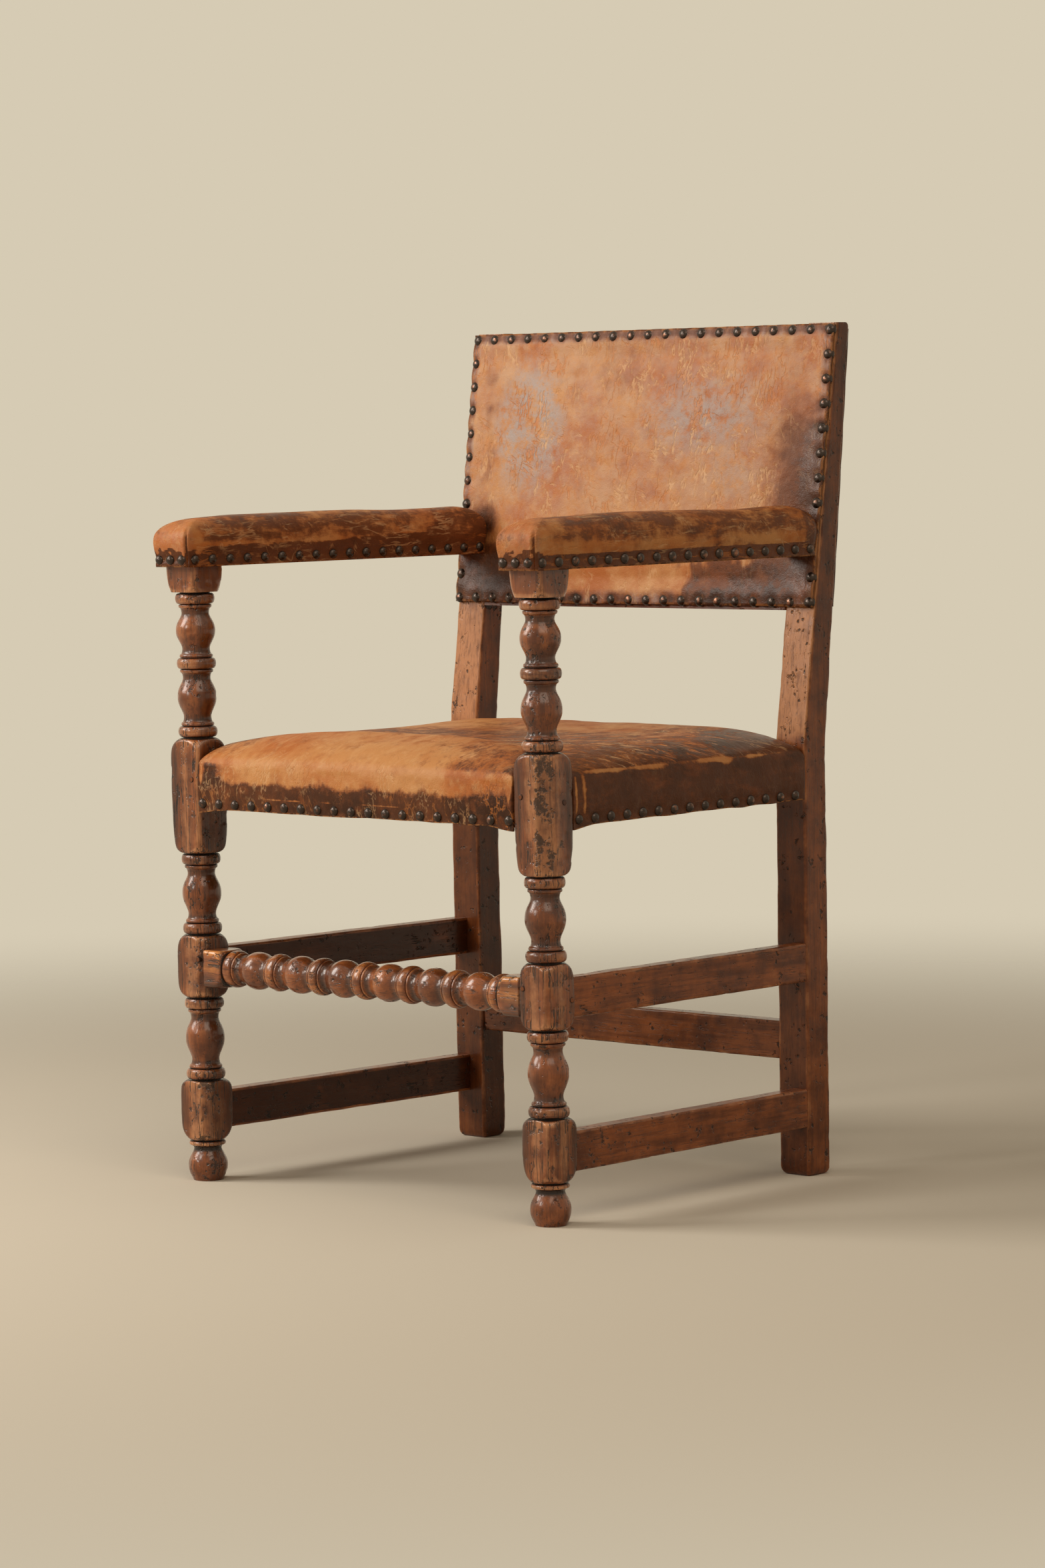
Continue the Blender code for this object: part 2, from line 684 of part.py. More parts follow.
def cross_bar_sizes(kind):
    """Half length to the shoulders, front Y, thickness, foot and top of a cross bar."""
    foot = SEAT_RAIL_TOP - SEAT_RAIL_HEIGHT
    if kind == "seat_front":
        return (LEG_AXIS_X - SEAT_BLOCK / 2, FRONT_FACE + LINING, SEAT_RAIL_THICKNESS,
                foot, SEAT_RAIL_TOP)
    if kind == "seat_back":
        return (inside_of_post(foot), DEPTH + BACK_SEAT_RAIL_INSET, SEAT_RAIL_THICKNESS,
                foot, SEAT_RAIL_TOP)
    foot = BACK_STRETCHER_CENTRE - STRETCHER_HEIGHT / 2
    return (inside_of_post(foot), DEPTH + BACK_STRETCHER_INSET, STRETCHER_THICKNESS,
            foot, foot + STRETCHER_HEIGHT)


def cross_tenons(kind, spare):
    half, front, thickness, foot, top = cross_bar_sizes(kind)
    near = front + (thickness - TENON_THICKNESS) / 2
    tenons = bmesh.new()
    for start, end in ((-half - TENON_LENGTH, TENON_SHOULDER - half),
                       (half - TENON_SHOULDER, half + TENON_LENGTH)):
        add_box(tenons, (start, near, foot + TENON_SHOULDER),
                (end, near + TENON_THICKNESS, top - TENON_SHOULDER), spare)
    return tenons


def build_cross_bar(name, kind):
    """Seat rail or stretcher running from side to side, tenoned at both ends."""
    half, front, thickness, foot, top = cross_bar_sizes(kind)
    body = bmesh.new()
    add_box(body, (GAP - half, front, foot), (half - GAP, front + thickness, top))
    bevel_edges(body, lambda edge: runs_along(edge, 0), SHARP_ARRIS)
    bar = make_piece(name, body, OAK)
    join(bar, "tenons", cross_tenons(kind, 0.0))
    if kind == "seat_front":
        for holes in PEG_HOLES.values():
            add_boolean(bar, "DIFFERENCE", holes)


def post_outline():
    """Side view of a rear leg as (y, z) points: up the front, over the top, down the rear."""
    half = KINK_LENGTH / 2
    bends = [KINK_HEIGHT + half * share for share in (-1.0, -0.5, 0.0, 0.5, 1.0)]
    front = [(front_of_post(z), z) for z in (0.0, *bends, HEIGHT)]
    rear = [(rear_of_post(z), z) for z in (*reversed(bends), 0.0)]
    top_y = rear_of_post(HEIGHT - POST_TOP_ROUNDING) - POST_TOP_ROUNDING
    top_z = HEIGHT - POST_TOP_ROUNDING
    corner = [(top_y + POST_TOP_ROUNDING * math.sin(angle), top_z + POST_TOP_ROUNDING * math.cos(angle))
              for angle in (0.0, math.pi / 6, math.pi / 3, math.pi / 2)]
    return front + corner + rear


def plate_from_outline(name, points, thickness):
    """Solid plate from (y, z) points, with its thickness centred on X = 0."""
    curve = bpy.data.curves.new(name, "CURVE")
    curve.dimensions = "2D"
    curve.fill_mode = "BOTH"
    curve.extrude = thickness / 2
    spline = curve.splines.new("POLY")
    spline.points.add(len(points) - 1)
    for point, (y, z) in zip(spline.points, points):
        point.co = (y, z, 0.0, 1.0)
    spline.use_cyclic_u = True
    flat = bpy.data.objects.new(name, curve)
    flat.rotation_euler = (math.pi / 2, 0.0, math.pi / 2)
    PARTS.objects.link(flat)
    bpy.context.view_layer.update()
    solid = bpy.data.meshes.new_from_object(
        flat.evaluated_get(bpy.context.evaluated_depsgraph_get()))
    plate = bmesh.new()
    plate.from_mesh(solid)
    bmesh.ops.transform(plate, matrix=flat.matrix_world, verts=plate.verts)
    bmesh.ops.remove_doubles(plate, verts=plate.verts, dist=WELD)
    bmesh.ops.dissolve_limit(
        plate, angle_limit=math.radians(0.1), verts=plate.verts, edges=plate.edges)
    bpy.data.meshes.remove(solid)
    bpy.data.objects.remove(flat, do_unlink=True)
    bpy.data.curves.remove(curve)
    return plate


def build_rear_leg(side):
    """Sawn rear leg: plumb to the seat, then leaning back and tapering."""
    post = plate_from_outline(f"rear_leg_{side}_outline", post_outline(), POST_WIDTH)
    move_points(post, lambda x, y, z: (x + outside_of_post(z) - POST_WIDTH / 2, y, z))
    mirror_to_side(post, side)
    leg = make_piece(f"rear_leg_{side}", post, OAK)
    edges = leg.modifiers.new("edges", "BEVEL")
    edges.width = POST_EDGE
    edges.segments = 1
    edges.limit_method = "ANGLE"
    edges.angle_limit = math.radians(45)
    mortises = bmesh.new()
    for kind in ("seat", "upper", "lower"):
        add_mesh(mortises, side_tenons(kind, side, GAP))
    for kind in ("seat_back", "back_stretcher"):
        add_mesh(mortises, cross_tenons(kind, GAP))
    for foot, top in back_rail_spans():
        add_mesh(mortises, back_tenons(foot, top, GAP))
    add_mesh(mortises, arm_tenon(side, GAP))
    cut(leg, "mortises", mortises)


def back_rail_spans():
    """Foot and top of the bottom rail and of the top rail."""
    return ((BACK_BOTTOM_RAIL_FOOT, BACK_BOTTOM_RAIL_FOOT + BACK_RAIL_HEIGHT),
            (BACK_TOP_RAIL_TOP - BACK_RAIL_HEIGHT, BACK_TOP_RAIL_TOP))


def back_tenons(foot, top, spare):
    """Tenons of a back rail, leaning with the posts."""
    half = inside_of_post(foot)
    near = (depth_of_post(top) - BACK_TENON_THICKNESS) / 2
    tenons = bmesh.new()
    for start, end in ((-half - TENON_LENGTH, TENON_SHOULDER - half),
                       (half - TENON_SHOULDER, half + TENON_LENGTH)):
        add_box(tenons, (start, near, foot + TENON_SHOULDER),
                (end, near + BACK_TENON_THICKNESS, top - TENON_SHOULDER), spare)
    move_points(tenons, lambda x, y, z: (x, y + front_of_post(z), z))
    return tenons


def build_back_rail(name, foot, top):
    """Back rail with its faces flush with the leaning, tapering posts."""
    half = inside_of_post(foot) - GAP
    body = bmesh.new()
    add_box(body, (-half, 0.0, foot), (half, 1.0, top))
    move_points(body, lambda x, y, z: (
        x, front_of_post(z) + y * (depth_of_post(z) - BACK_RAIL_SLACK), z))
    rail = make_piece(name, body, OAK)
    join(rail, "tenons", back_tenons(foot, top, 0.0))


def split_outwards(sheet):
    """Cuts each four-sided face from its corner nearest the middle to the farthest one.

    Forms made from the same sheet then share their facets and keep an even distance.
    """
    def reach(vert):
        return vert.co.xy.length - WELD * vert.co.z

    for face in list(sheet.faces):
        nearest = min(face.verts, key=reach)
        farthest = max(face.verts, key=reach)
        bmesh.utils.face_split(face, nearest, farthest)


def skirted_sheet(columns, rows, rings):
    """Square sheet from -1 to 1 with its border dropped in rings, to -1, -2 and so on.

    Its lines draw together towards the border, where the forms made from it bend most.
    Columns and rows are even in number, so that no face straddles the middle.
    """
    sheet = bmesh.new()
    bmesh.ops.create_grid(sheet, x_segments=columns, y_segments=rows, size=1.0)
    move_points(sheet, lambda x, y, z: (
        math.sin(math.pi / 2 * x), math.sin(math.pi / 2 * y), z))
    border = [edge for edge in sheet.edges if edge.is_boundary]
    for ring in range(1, rings + 1):
        made = bmesh.ops.extrude_edge_only(sheet, edges=border)["geom"]
        for vert in made:
            if isinstance(vert, bmesh.types.BMVert):
                vert.co.z = -ring
        border = [edge for edge in made if isinstance(edge, bmesh.types.BMEdge) and edge.is_boundary]
    bmesh.ops.recalc_face_normals(sheet, faces=sheet.faces)
    top = max(sheet.faces, key=lambda face: face.calc_center_median().z)
    if top.normal.z < 0:
        bmesh.ops.reverse_faces(sheet, faces=sheet.faces)
    split_outwards(sheet)
    return sheet


def last_line(count):
    """Where a skirted sheet's last line lies before its border."""
    return math.sin(math.pi / 2 * (1 - 2 / count))


def close_foot(mesh_edit):
    """Fills the open lower border of a skirted form."""
    border = [edge for edge in mesh_edit.edges if edge.is_boundary]
    bmesh.ops.edgeloop_fill(mesh_edit, edges=border)
    bmesh.ops.recalc_face_normals(mesh_edit, faces=mesh_edit.faces)


def pillow(u, v, height, power):
    """Height of a crowned form over a square from -1 to 1, level near its middle."""
    return height * (1 - abs(u) ** power) * (1 - abs(v) ** power)


def seat_plan(u, v, inset):
    """Place in the seat's plan, which tapers to the rear, for u and v from -1 to 1."""
    middle = (FRONT_FACE + SEAT_REAR) / 2
    y = middle + v * ((SEAT_REAR - FRONT_FACE) / 2 - inset)
    return u * (seat_half_width(y) - inset), y


def seat_surface(u, v, inset):
    """Height of the seat's crowned top, or of the stuffing an inset below it."""
    dish = SEAT_DISH * (1 - u * u) * (1 - v * v)
    return SEAT_EDGE - inset + pillow(u, v, SEAT_CROWN, SEAT_CROWN_POWER) - dish


def seat_notches(spare):
    """Corners that the front legs and the posts take out of the seat."""
    notches = bmesh.new()
    foot = SEAT_LEG_BLOCK[0]
    top = SEAT_LEG_BLOCK[1] + SEAT_CROWN
    beyond = FRONT_HALF_WIDTH + SEAT_BLOCK
    leg_x = LEG_AXIS_X - SEAT_BLOCK / 2 - spare
    post_x = inside_of_post(SEAT_RAIL_CENTRE) - spare
    for low, high in (
            ((leg_x, FRONT_FACE - SEAT_BLOCK, foot), (beyond, SEAT_BLOCK / 2 + spare, top)),
            ((post_x, DEPTH - spare, foot), (beyond, SEAT_REAR + SEAT_BLOCK, top))):
        add_box(notches, low, high)
        add_box(notches, (-high[0], low[1], low[2]), (-low[0], high[1], high[2]))
    return notches


def build_seat_leather():
    """Crowned leather top with straight sides, cut round the legs and posts."""
    rings = ((0.38, SEAT_SIDE_BULGE), (0.73, 0.0), (1.0, 0.0))
    sheet = skirted_sheet(12, 12, len(rings))

    def place(u, v, level):
        if level > -0.5:
            return (*seat_plan(u, v, 0.0), seat_surface(u, v, 0.0))
        share, bulge = rings[round(-level) - 1]
        return (*seat_plan(u, v, -bulge), SEAT_EDGE - share * SEAT_SKIRT)

    move_points(sheet, place)
    leather = make_piece("seat_leather", sheet, TAN_LEATHER, smooth=True)
    add_leather_thickness(leather)
    join(leather, "nails", seat_nails())
    cut(leather, "notches", seat_notches(SEAT_NOTCH_GAP))


def build_seat_stuffing():
    """Stuffing that fills the crown, lying on the canvas."""
    inset = LEATHER + SOFT_GAP
    sheet = skirted_sheet(12, 12, 1)

    def place(u, v, level):
        height = seat_surface(u, v, inset) if level > -0.5 else SEAT_STUFFING_FOOT
        return (*seat_plan(u, v, inset), height)

    move_points(sheet, place)
    close_foot(sheet)
    stuffing = make_piece("seat_stuffing", sheet, HAIR, smooth=True)
    cut(stuffing, "notches", seat_notches(SEAT_NOTCH_GAP + SOFT_GAP))


def build_seat_canvas():
    """Canvas laid over the webbing, out to just inside the leather."""
    canvas = bmesh.new()
    add_box(canvas, (-1.0, -1.0, SEAT_CANVAS_FOOT), (1.0, 1.0, SEAT_CANVAS_FOOT + CANVAS))
    inset = LINING + CANVAS_MARGIN
    move_points(canvas, lambda u, v, z: (*seat_plan(u, v, inset), z))
    piece = make_piece("seat_canvas", canvas, CLOTH)
    cut(piece, "notches", seat_notches(SEAT_NOTCH_GAP + SOFT_GAP))


def strap_centres(start, end):
    """Even places for webbing straps at about their pitch between two limits."""
    count = max(1, round((end - start) / WEBBING_PITCH))
    return [mix(start, end, (step + 0.5) / count) for step in range(count)]


def build_webbing():
    """Straps across the side rails, and straps over them from the front to the back rail."""
    half_strap = WEBBING_WIDTH / 2
    foot = SEAT_RAIL_TOP + GAP
    for number, y in enumerate(strap_centres(SEAT_BLOCK / 2, DEPTH), 1):
        half = seat_half_width(y + half_strap) - LINING - WEBBING_MARGIN
        strap = bmesh.new()
        add_box(strap, (-half, y - half_strap, foot), (half, y + half_strap, foot + WEBBING_THICKNESS))
        make_piece(f"webbing_across_{number}", strap, CLOTH)
    front = FRONT_FACE + LINING + WEBBING_MARGIN
    rear = SEAT_REAR - LINING - WEBBING_MARGIN
    side = inside_of_post(SEAT_RAIL_CENTRE) - WEBBING_MARGIN
    for number, x in enumerate(strap_centres(-side, side), 1):
        strap = bmesh.new()
        add_box(strap, (x - half_strap, front, UPPER_WEBBING),
                (x + half_strap, rear, UPPER_WEBBING + WEBBING_THICKNESS))
        make_piece(f"webbing_along_{number}", strap, CLOTH)


def back_opening():
    """Middle height and half height of the space between the back rails."""
    (_, foot), (top, _) = back_rail_spans()
    return (foot + top) / 2, (top - foot) / 2


def back_crown(x, z):
    """How far the padded back swells forwards, inside the frame's opening only."""
    middle, half = back_opening()
    across = min(1.0, abs(x) / inside_of_post(z))
    along = min(1.0, abs(z - middle) / half)
    return pillow(across, along, BACK_CROWN, BACK_CROWN_POWER)


def build_back_canvas():
    """Canvas over the frame's opening, lapped on the posts and rails."""
    canvas = bmesh.new()
    foot = BACK_LEATHER_FOOT + CANVAS_MARGIN
    top = BACK_LEATHER_TOP - CANVAS_MARGIN
    add_box(canvas, (-1.0, -BACK_CANVAS_FACE, foot), (1.0, -GAP, top))
    move_points(canvas, lambda x, y, z: (
        x * (outside_of_post(z) - BACK_SIDE_MARGIN - CANVAS_MARGIN), front_of_post(z) + y, z))
    piece = make_piece("back_canvas", canvas, CLOTH)
    for side in ("left", "right"):
        cut(piece, f"slot_{side}", arm_tenon(side, GAP))


def build_back_leather():
    """Leather panel over the whole front of the back, swelling inside the frame.

    The sheet's outermost band lies flat on the frame, where the nails go.
    """
    columns = 12
    rows = 10
    sheet = skirted_sheet(columns, rows, 0)
    middle, half = back_opening()

    def place(u, v, level):
        z = middle + half * v / last_line(rows)
        if abs(v) > 1 - WELD:
            z = BACK_LEATHER_TOP if v > 0 else BACK_LEATHER_FOOT
        x = inside_of_post(z) * u / last_line(columns)
        if abs(u) > 1 - WELD:
            x = u * (outside_of_post(z) - BACK_SIDE_MARGIN)
        return x, front_of_post(z) - BACK_COVER - back_crown(x, z), z

    move_points(sheet, place)
    leather = make_piece("back_leather", sheet, TAN_LEATHER, smooth=True)
    add_leather_thickness(leather)
    for side in ("left", "right"):
        cut(leather, f"slot_{side}", arm_tenon(side, GAP))
    join(leather, "nails", front_back_nails())


def build_back_padding():
    """Thin wadding between the canvas and the leather, tapering out to the frame."""
    middle, half = back_opening()
    sheet = skirted_sheet(12, 10, 1)

    def place(u, v, level):
        z = middle + v * half * BACK_PADDING_SHARE
        x = u * inside_of_post(z) * BACK_PADDING_SHARE
        swell = back_crown(x, z) - SOFT_GAP if level > -0.5 else 0.0
        return x, front_of_post(z) - BACK_LEATHER_SEAT - swell, z

    move_points(sheet, place)
    close_foot(sheet)
    make_piece("back_padding", sheet, HAIR, smooth=True)


def build_outside_back():
    """Leather that closes the rear of the back."""
    sheet = bmesh.new()
    add_box(sheet, (-1.0, GAP, OUTSIDE_BACK_FOOT), (1.0, LINING, OUTSIDE_BACK_TOP))
    move_points(sheet, lambda x, y, z: (
        x * (outside_of_post(z) - OUTSIDE_BACK_MARGIN), rear_of_post(z) + y, z))
    leather = make_piece("back_outside_leather", sheet, TAN_LEATHER)
    join(leather, "nails", outside_back_nails())


def arm_rear(z):
    """Y of an arm's rear end, which butts against the back leather."""
    return front_of_post(z) - BACK_COVER - SOFT_GAP


def arm_point(across, along, z, inset=0.0, swell=0.0):
    """Place in the right arm: across from -1 to 1, along from 0 in front to 1 at the back.

    The inset is kept on all four sides, and the swell widens the arm sideways.
    """
    rear_x = outside_of_post(ARM_UNDERSIDE) - BACK_SIDE_MARGIN - ARM_REAR_WIDTH / 2
    half = mix(ARM_FRONT_WIDTH, ARM_REAR_WIDTH, along) / 2 - inset + swell
    return (mix(LEG_AXIS_X, rear_x, along) + across * half,
            mix(inset - ARM_FRONT, arm_rear(z) - inset, along), z)


def arm_dome(u, v):
    """Share of the pad's crown: round across, rounded over in front, nearly full behind."""
    across = (1 - abs(u) ** ARM_ROUND_POWER) ** (1 / ARM_ROUND_POWER)
    if v > 0:
        return across * (1 - ARM_REAR_DROP * v ** ARM_REAR_POWER)
    return across * (1 - abs(v) ** ARM_FRONT_POWER) ** (1 / ARM_FRONT_POWER)


def arm_tenon(side, spare):
    """The arm board's tenon, through the back's covering and into the post."""
    start = arm_rear(ARM_UNDERSIDE) - LINING - TENON_SHOULDER
    end = front_of_post(ARM_UNDERSIDE) + TENON_LENGTH
    centre = arm_point(0.0, 1.0, ARM_UNDERSIDE)[0]
    half = ARM_REAR_WIDTH / 2 - LINING - TENON_SHOULDER
    foot = ARM_UNDERSIDE + (ARM_BOARD_THICKNESS - TENON_THICKNESS) / 2
    tenon = bmesh.new()
    add_box(tenon, (centre - half, start, foot), (centre + half, end, foot + TENON_THICKNESS), spare)
    mirror_to_side(tenon, side)
    return tenon


def build_arm_board(side):
    """Oak board under the arm pad, bored for the leg's pin and tenoned into the post."""
    board = bmesh.new()
    add_box(board, (-1.0, 0.0, ARM_UNDERSIDE), (1.0, 1.0, ARM_BOARD_TOP))
    move_points(board, lambda x, y, z: arm_point(x, y, z, LINING))
    mirror_to_side(board, side)
    piece = make_piece(f"arm_board_{side}", board, OAK)
    join(piece, "tenon", arm_tenon(side, 0.0))
    bore = bmesh.new()
    add_cylinder(bore, ARM_PIN_RADIUS + GAP, (LEG_AXIS_X, 0.0, ARM_UNDERSIDE - ARM_PIN_LENGTH),
                 (LEG_AXIS_X, 0.0, ARM_BLOCK[1] + ARM_PIN_LENGTH + GAP), TURNING_SIDES)
    mirror_to_side(bore, side)
    cut(piece, "bore", bore)


def build_arm_leather(side):
    """Leather over an arm: straight where it is nailed, swelling above, domed on top."""
    rings = (ARM_UNDERSIDE + ARM_NAIL_BAND, ARM_UNDERSIDE)
    shoulder = ARM_UNDERSIDE + ARM_SIDE_HEIGHT
    crown = ARM_PAD_HEIGHT - ARM_SIDE_HEIGHT
    sheet = skirted_sheet(8, 12, len(rings))

    def place(u, v, level):
        along = (v + 1) / 2
        if level > -0.5:
            return arm_point(u, along, shoulder + crown * arm_dome(u, v), 0.0, ARM_BULGE)
        return arm_point(u, along, rings[round(-level) - 1])

    move_points(sheet, place)
    mirror_to_side(sheet, side)
    leather = make_piece(f"arm_leather_{side}", sheet, TAN_LEATHER, smooth=True)
    add_leather_thickness(leather)
    cut(leather, "slot", arm_tenon(side, GAP))
    join(leather, "nails", arm_nails(side))


def build_arm_stuffing(side):
    """Stuffing between an arm board and its leather."""
    inset = LEATHER + SOFT_GAP
    shoulder = ARM_UNDERSIDE + ARM_SIDE_HEIGHT - inset
    crown = ARM_PAD_HEIGHT - ARM_SIDE_HEIGHT
    sheet = skirted_sheet(8, 12, 1)

    def place(u, v, level):
        along = (v + 1) / 2
        if level > -0.5:
            return arm_point(u, along, shoulder + crown * arm_dome(u, v), inset, ARM_BULGE)
        return arm_point(u, along, ARM_BOARD_TOP + GAP, inset)

    move_points(sheet, place)
    close_foot(sheet)
    mirror_to_side(sheet, side)
    make_piece(f"arm_stuffing_{side}", sheet, HAIR, smooth=True)


def add_nail(mesh_edit, seat, outward):
    """A low pointed head, sunk a little into the leather that carries it."""
    outward = Vector(outward).normalized()
    turn = outward.to_track_quat("Z", "Y").to_matrix().to_4x4()
    middle = Vector(seat) + outward * (NAIL_HEIGHT - NAIL_SINK) / 2
    bmesh.ops.create_cone(
        mesh_edit, cap_ends=True, segments=NAIL_SIDES, radius1=NAIL_RADIUS, radius2=0.0,
        depth=NAIL_HEIGHT + NAIL_SINK, matrix=Matrix.Translation(middle) @ turn)


def row_points(start, end, pitch=NAIL_PITCH):
    """Places along a line at about the nail pitch, both ends included."""
    start = Vector(start)
    end = Vector(end)
    count = max(1, round((end - start).length / pitch))
    return [start.lerp(end, step / count) for step in range(count + 1)]


def back_nails(surface, outward, half_width, foot, top, pitch, is_hidden):
    """Rows along the top and bottom of the back, and columns down both of its sides."""
    nails = bmesh.new()
    for z in (foot, top):
        for point in row_points((-half_width(z), 0.0, z), (half_width(z), 0.0, z), pitch):
            add_nail(nails, (point.x, surface(z), z), outward)
    for point in row_points((0.0, 0.0, foot), (0.0, 0.0, top), pitch)[1:-1]:
        if not is_hidden(point.z):
            for sign in (-1, 1):
                add_nail(nails, (sign * half_width(point.z), surface(point.z), point.z), outward)
    return nails


def front_back_nails():
    """Nails round the back's leather, left out where the arms cover it."""
    lean = LEAN / (HEIGHT - KINK_HEIGHT)
    arm_top = ARM_UNDERSIDE + ARM_PAD_HEIGHT
    return back_nails(
        lambda z: front_of_post(z) - BACK_COVER, (0.0, -1.0, lean),
        lambda z: outside_of_post(z) - BACK_SIDE_MARGIN - BACK_NAIL_EDGE,
        BACK_LEATHER_FOOT + BACK_NAIL_EDGE, BACK_LEATHER_TOP - BACK_NAIL_EDGE, NAIL_PITCH,
        lambda z: ARM_UNDERSIDE - NAIL_RADIUS < z < arm_top - NAIL_RADIUS)


def outside_back_nails():
    lean = (LEAN - POST_DEPTH + POST_TOP_DEPTH) / (HEIGHT - KINK_HEIGHT)
    return back_nails(
        lambda z: rear_of_post(z) + LINING, (0.0, 1.0, -lean),
        lambda z: outside_of_post(z) - OUTSIDE_BACK_MARGIN - NAIL_EDGE,
        OUTSIDE_BACK_FOOT + NAIL_EDGE, OUTSIDE_BACK_TOP - NAIL_EDGE, OUTSIDE_NAIL_PITCH,
        lambda z: False)


def seat_nails():
    """A row along the leather's lower edge on each of the seat's four sides."""
    nails = bmesh.new()
    z = SEAT_EDGE - SEAT_SKIRT + NAIL_EDGE
    half = LEG_AXIS_X - SEAT_BLOCK / 2 - SEAT_FRONT_NAIL_END
    for point in row_points((-half, FRONT_FACE, z),
                            (half, FRONT_FACE, z)):
        add_nail(nails, point, (0.0, -1.0, 0.0))
    half = inside_of_post(z) - SEAT_REAR_NAIL_END
    for point in row_points((-half, SEAT_REAR, z), (half, SEAT_REAR, z)):
        add_nail(nails, point, (0.0, 1.0, 0.0))
    last_y = DEPTH - SEAT_SIDE_NAIL_REAR
    for sign in (-1, 1):
        first = Vector((sign * seat_half_width(SEAT_SIDE_NAIL_FRONT), SEAT_SIDE_NAIL_FRONT, z))
        last = Vector((sign * seat_half_width(last_y), last_y, z))
        outward = (last - first).cross(Vector((0.0, 0.0, sign)))
        for point in row_points(first, last):
            add_nail(nails, point, outward)
    return nails


def arm_nails(side):
    """Rows along both sides of an arm and three nails on its front."""
    nails = bmesh.new()
    z = ARM_UNDERSIDE + ARM_NAIL_HEIGHT
    end = ARM_NAIL_END / (arm_rear(z) + ARM_FRONT)
    for across in (-1, 1):
        first = Vector(arm_point(across, end, z))
        last = Vector(arm_point(across, 1 - end, z))
        outward = (last - first).cross(Vector((0.0, 0.0, across)))
        for point in row_points(first, last):
            add_nail(nails, point, outward)
    for step in (-1, 0, 1):
        seat = (LEG_AXIS_X + step * ARM_FRONT_NAIL_SPREAD, -ARM_FRONT, z)
        add_nail(nails, seat, (0.0, -1.0, 0.0))
    mirror_to_side(nails, side)
    return nails


def build_side(side):
    """Everything that comes in a left and a right version."""
    build_front_leg(side)
    build_pegs(side)
    build_rear_leg(side)
    build_side_bar(f"side_stretcher_upper_{side}", "upper", side)
    build_side_bar(f"side_stretcher_lower_{side}", "lower", side)
    build_side_bar(f"seat_rail_{side}", "seat", side)
    build_arm_board(side)
    build_arm_stuffing(side)
    build_arm_leather(side)


def build_chair():
    for side in ("left", "right"):
        build_side(side)
    build_bobbin_stretcher()
    build_cross_bar("back_stretcher", "back_stretcher")
    build_cross_bar("seat_rail_front", "seat_front")
    build_cross_bar("seat_rail_back", "seat_back")
    for name, (foot, top) in zip(("back_bottom_rail", "back_top_rail"), back_rail_spans()):
        build_back_rail(name, foot, top)
    build_webbing()
    build_seat_canvas()
    build_seat_stuffing()
    build_seat_leather()
    build_back_canvas()
    build_back_padding()
    build_back_leather()
    build_outside_back()


build_chair()
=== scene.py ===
"""Looks of the bobbin armchair: fine turned oak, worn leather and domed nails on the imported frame.

Units are metres and +Z is up. Lengths along Y are measured from the axis of the front legs, as in
the part's own drawing, and ORIGIN carries them into the frame. Pairs are drawn on the chair's
right, at +X, and mirrored for its left.
"""

import math

import bmesh
import bpy
import numpy as np
from mathutils import Matrix, Vector


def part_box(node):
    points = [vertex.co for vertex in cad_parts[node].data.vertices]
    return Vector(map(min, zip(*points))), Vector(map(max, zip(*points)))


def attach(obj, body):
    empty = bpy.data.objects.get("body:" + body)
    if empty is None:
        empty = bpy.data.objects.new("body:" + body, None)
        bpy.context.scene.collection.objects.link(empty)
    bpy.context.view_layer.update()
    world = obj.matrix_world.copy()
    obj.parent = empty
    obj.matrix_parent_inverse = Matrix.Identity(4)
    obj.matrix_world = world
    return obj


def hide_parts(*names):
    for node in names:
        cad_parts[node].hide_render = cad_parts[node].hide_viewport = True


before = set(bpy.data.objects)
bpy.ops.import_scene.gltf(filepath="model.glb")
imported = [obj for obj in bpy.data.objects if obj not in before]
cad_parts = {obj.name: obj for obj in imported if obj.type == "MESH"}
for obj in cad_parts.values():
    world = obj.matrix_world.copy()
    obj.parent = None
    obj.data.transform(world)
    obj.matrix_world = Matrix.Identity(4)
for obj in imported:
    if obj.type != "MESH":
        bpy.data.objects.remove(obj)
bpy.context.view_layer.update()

# Places read from the frame
LEG_LOW, LEG_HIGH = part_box("front_leg_right")
POST_LOW, POST_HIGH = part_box("rear_leg_right")
LEG_AXIS_X = (LEG_LOW.x + LEG_HIGH.x) / 2
ORIGIN = np.array([0.0, (LEG_LOW.y + LEG_HIGH.y) / 2, 0.0])
HEIGHT = POST_HIGH.z
DEPTH = POST_LOW.y - ORIGIN[1]
SIDES = ("left", "right")

# Front legs: squares and turned runs from the floor up
SEAT_BLOCK = 0.043
BLOCK = 0.0415
FOOT_TOP = 0.0438
LOW_BLOCK = (FOOT_TOP, 0.1075)
MIDDLE_BLOCK = (0.1972, 0.2635)
SEAT_LEG_BLOCK = (0.3515, 0.4733)
ARM_BLOCK = (0.6285, 0.6557)
LEG_SEGMENTS = 88
BALL_RADIUS = 0.021
NECK_RADIUS = 0.0148
BEAD_RADIUS = 0.0211
BEAD_HEIGHT = 0.0115
QUIRK_RADIUS = 0.0162
QUIRK_HEIGHT = 0.0012
LIP_RADIUS = 0.0178
LIP_HEIGHT = 0.004
COVE_HEIGHT = 0.0058
UPPER_BEAD_RISE = 0.0018
FOOT_BALL_CENTRE = 0.0155
FOOT_BEAD_HEIGHT = 0.005
FOOT_BEAD_RADIUS = 0.0198

# Front stretcher
BOBBIN_CENTRE = 0.22935
BOBBIN_RADIUS = 0.020
BOBBIN_NECK = 0.0145
BOBBIN_BALLS = 6
BOBBIN_RUN = 0.4044
BOBBIN_SHIFT = -0.0025
BOBBIN_BLOCK = 0.040
BOBBIN_REEL = 0.012
BOBBIN_LIP_HEIGHT = 0.003

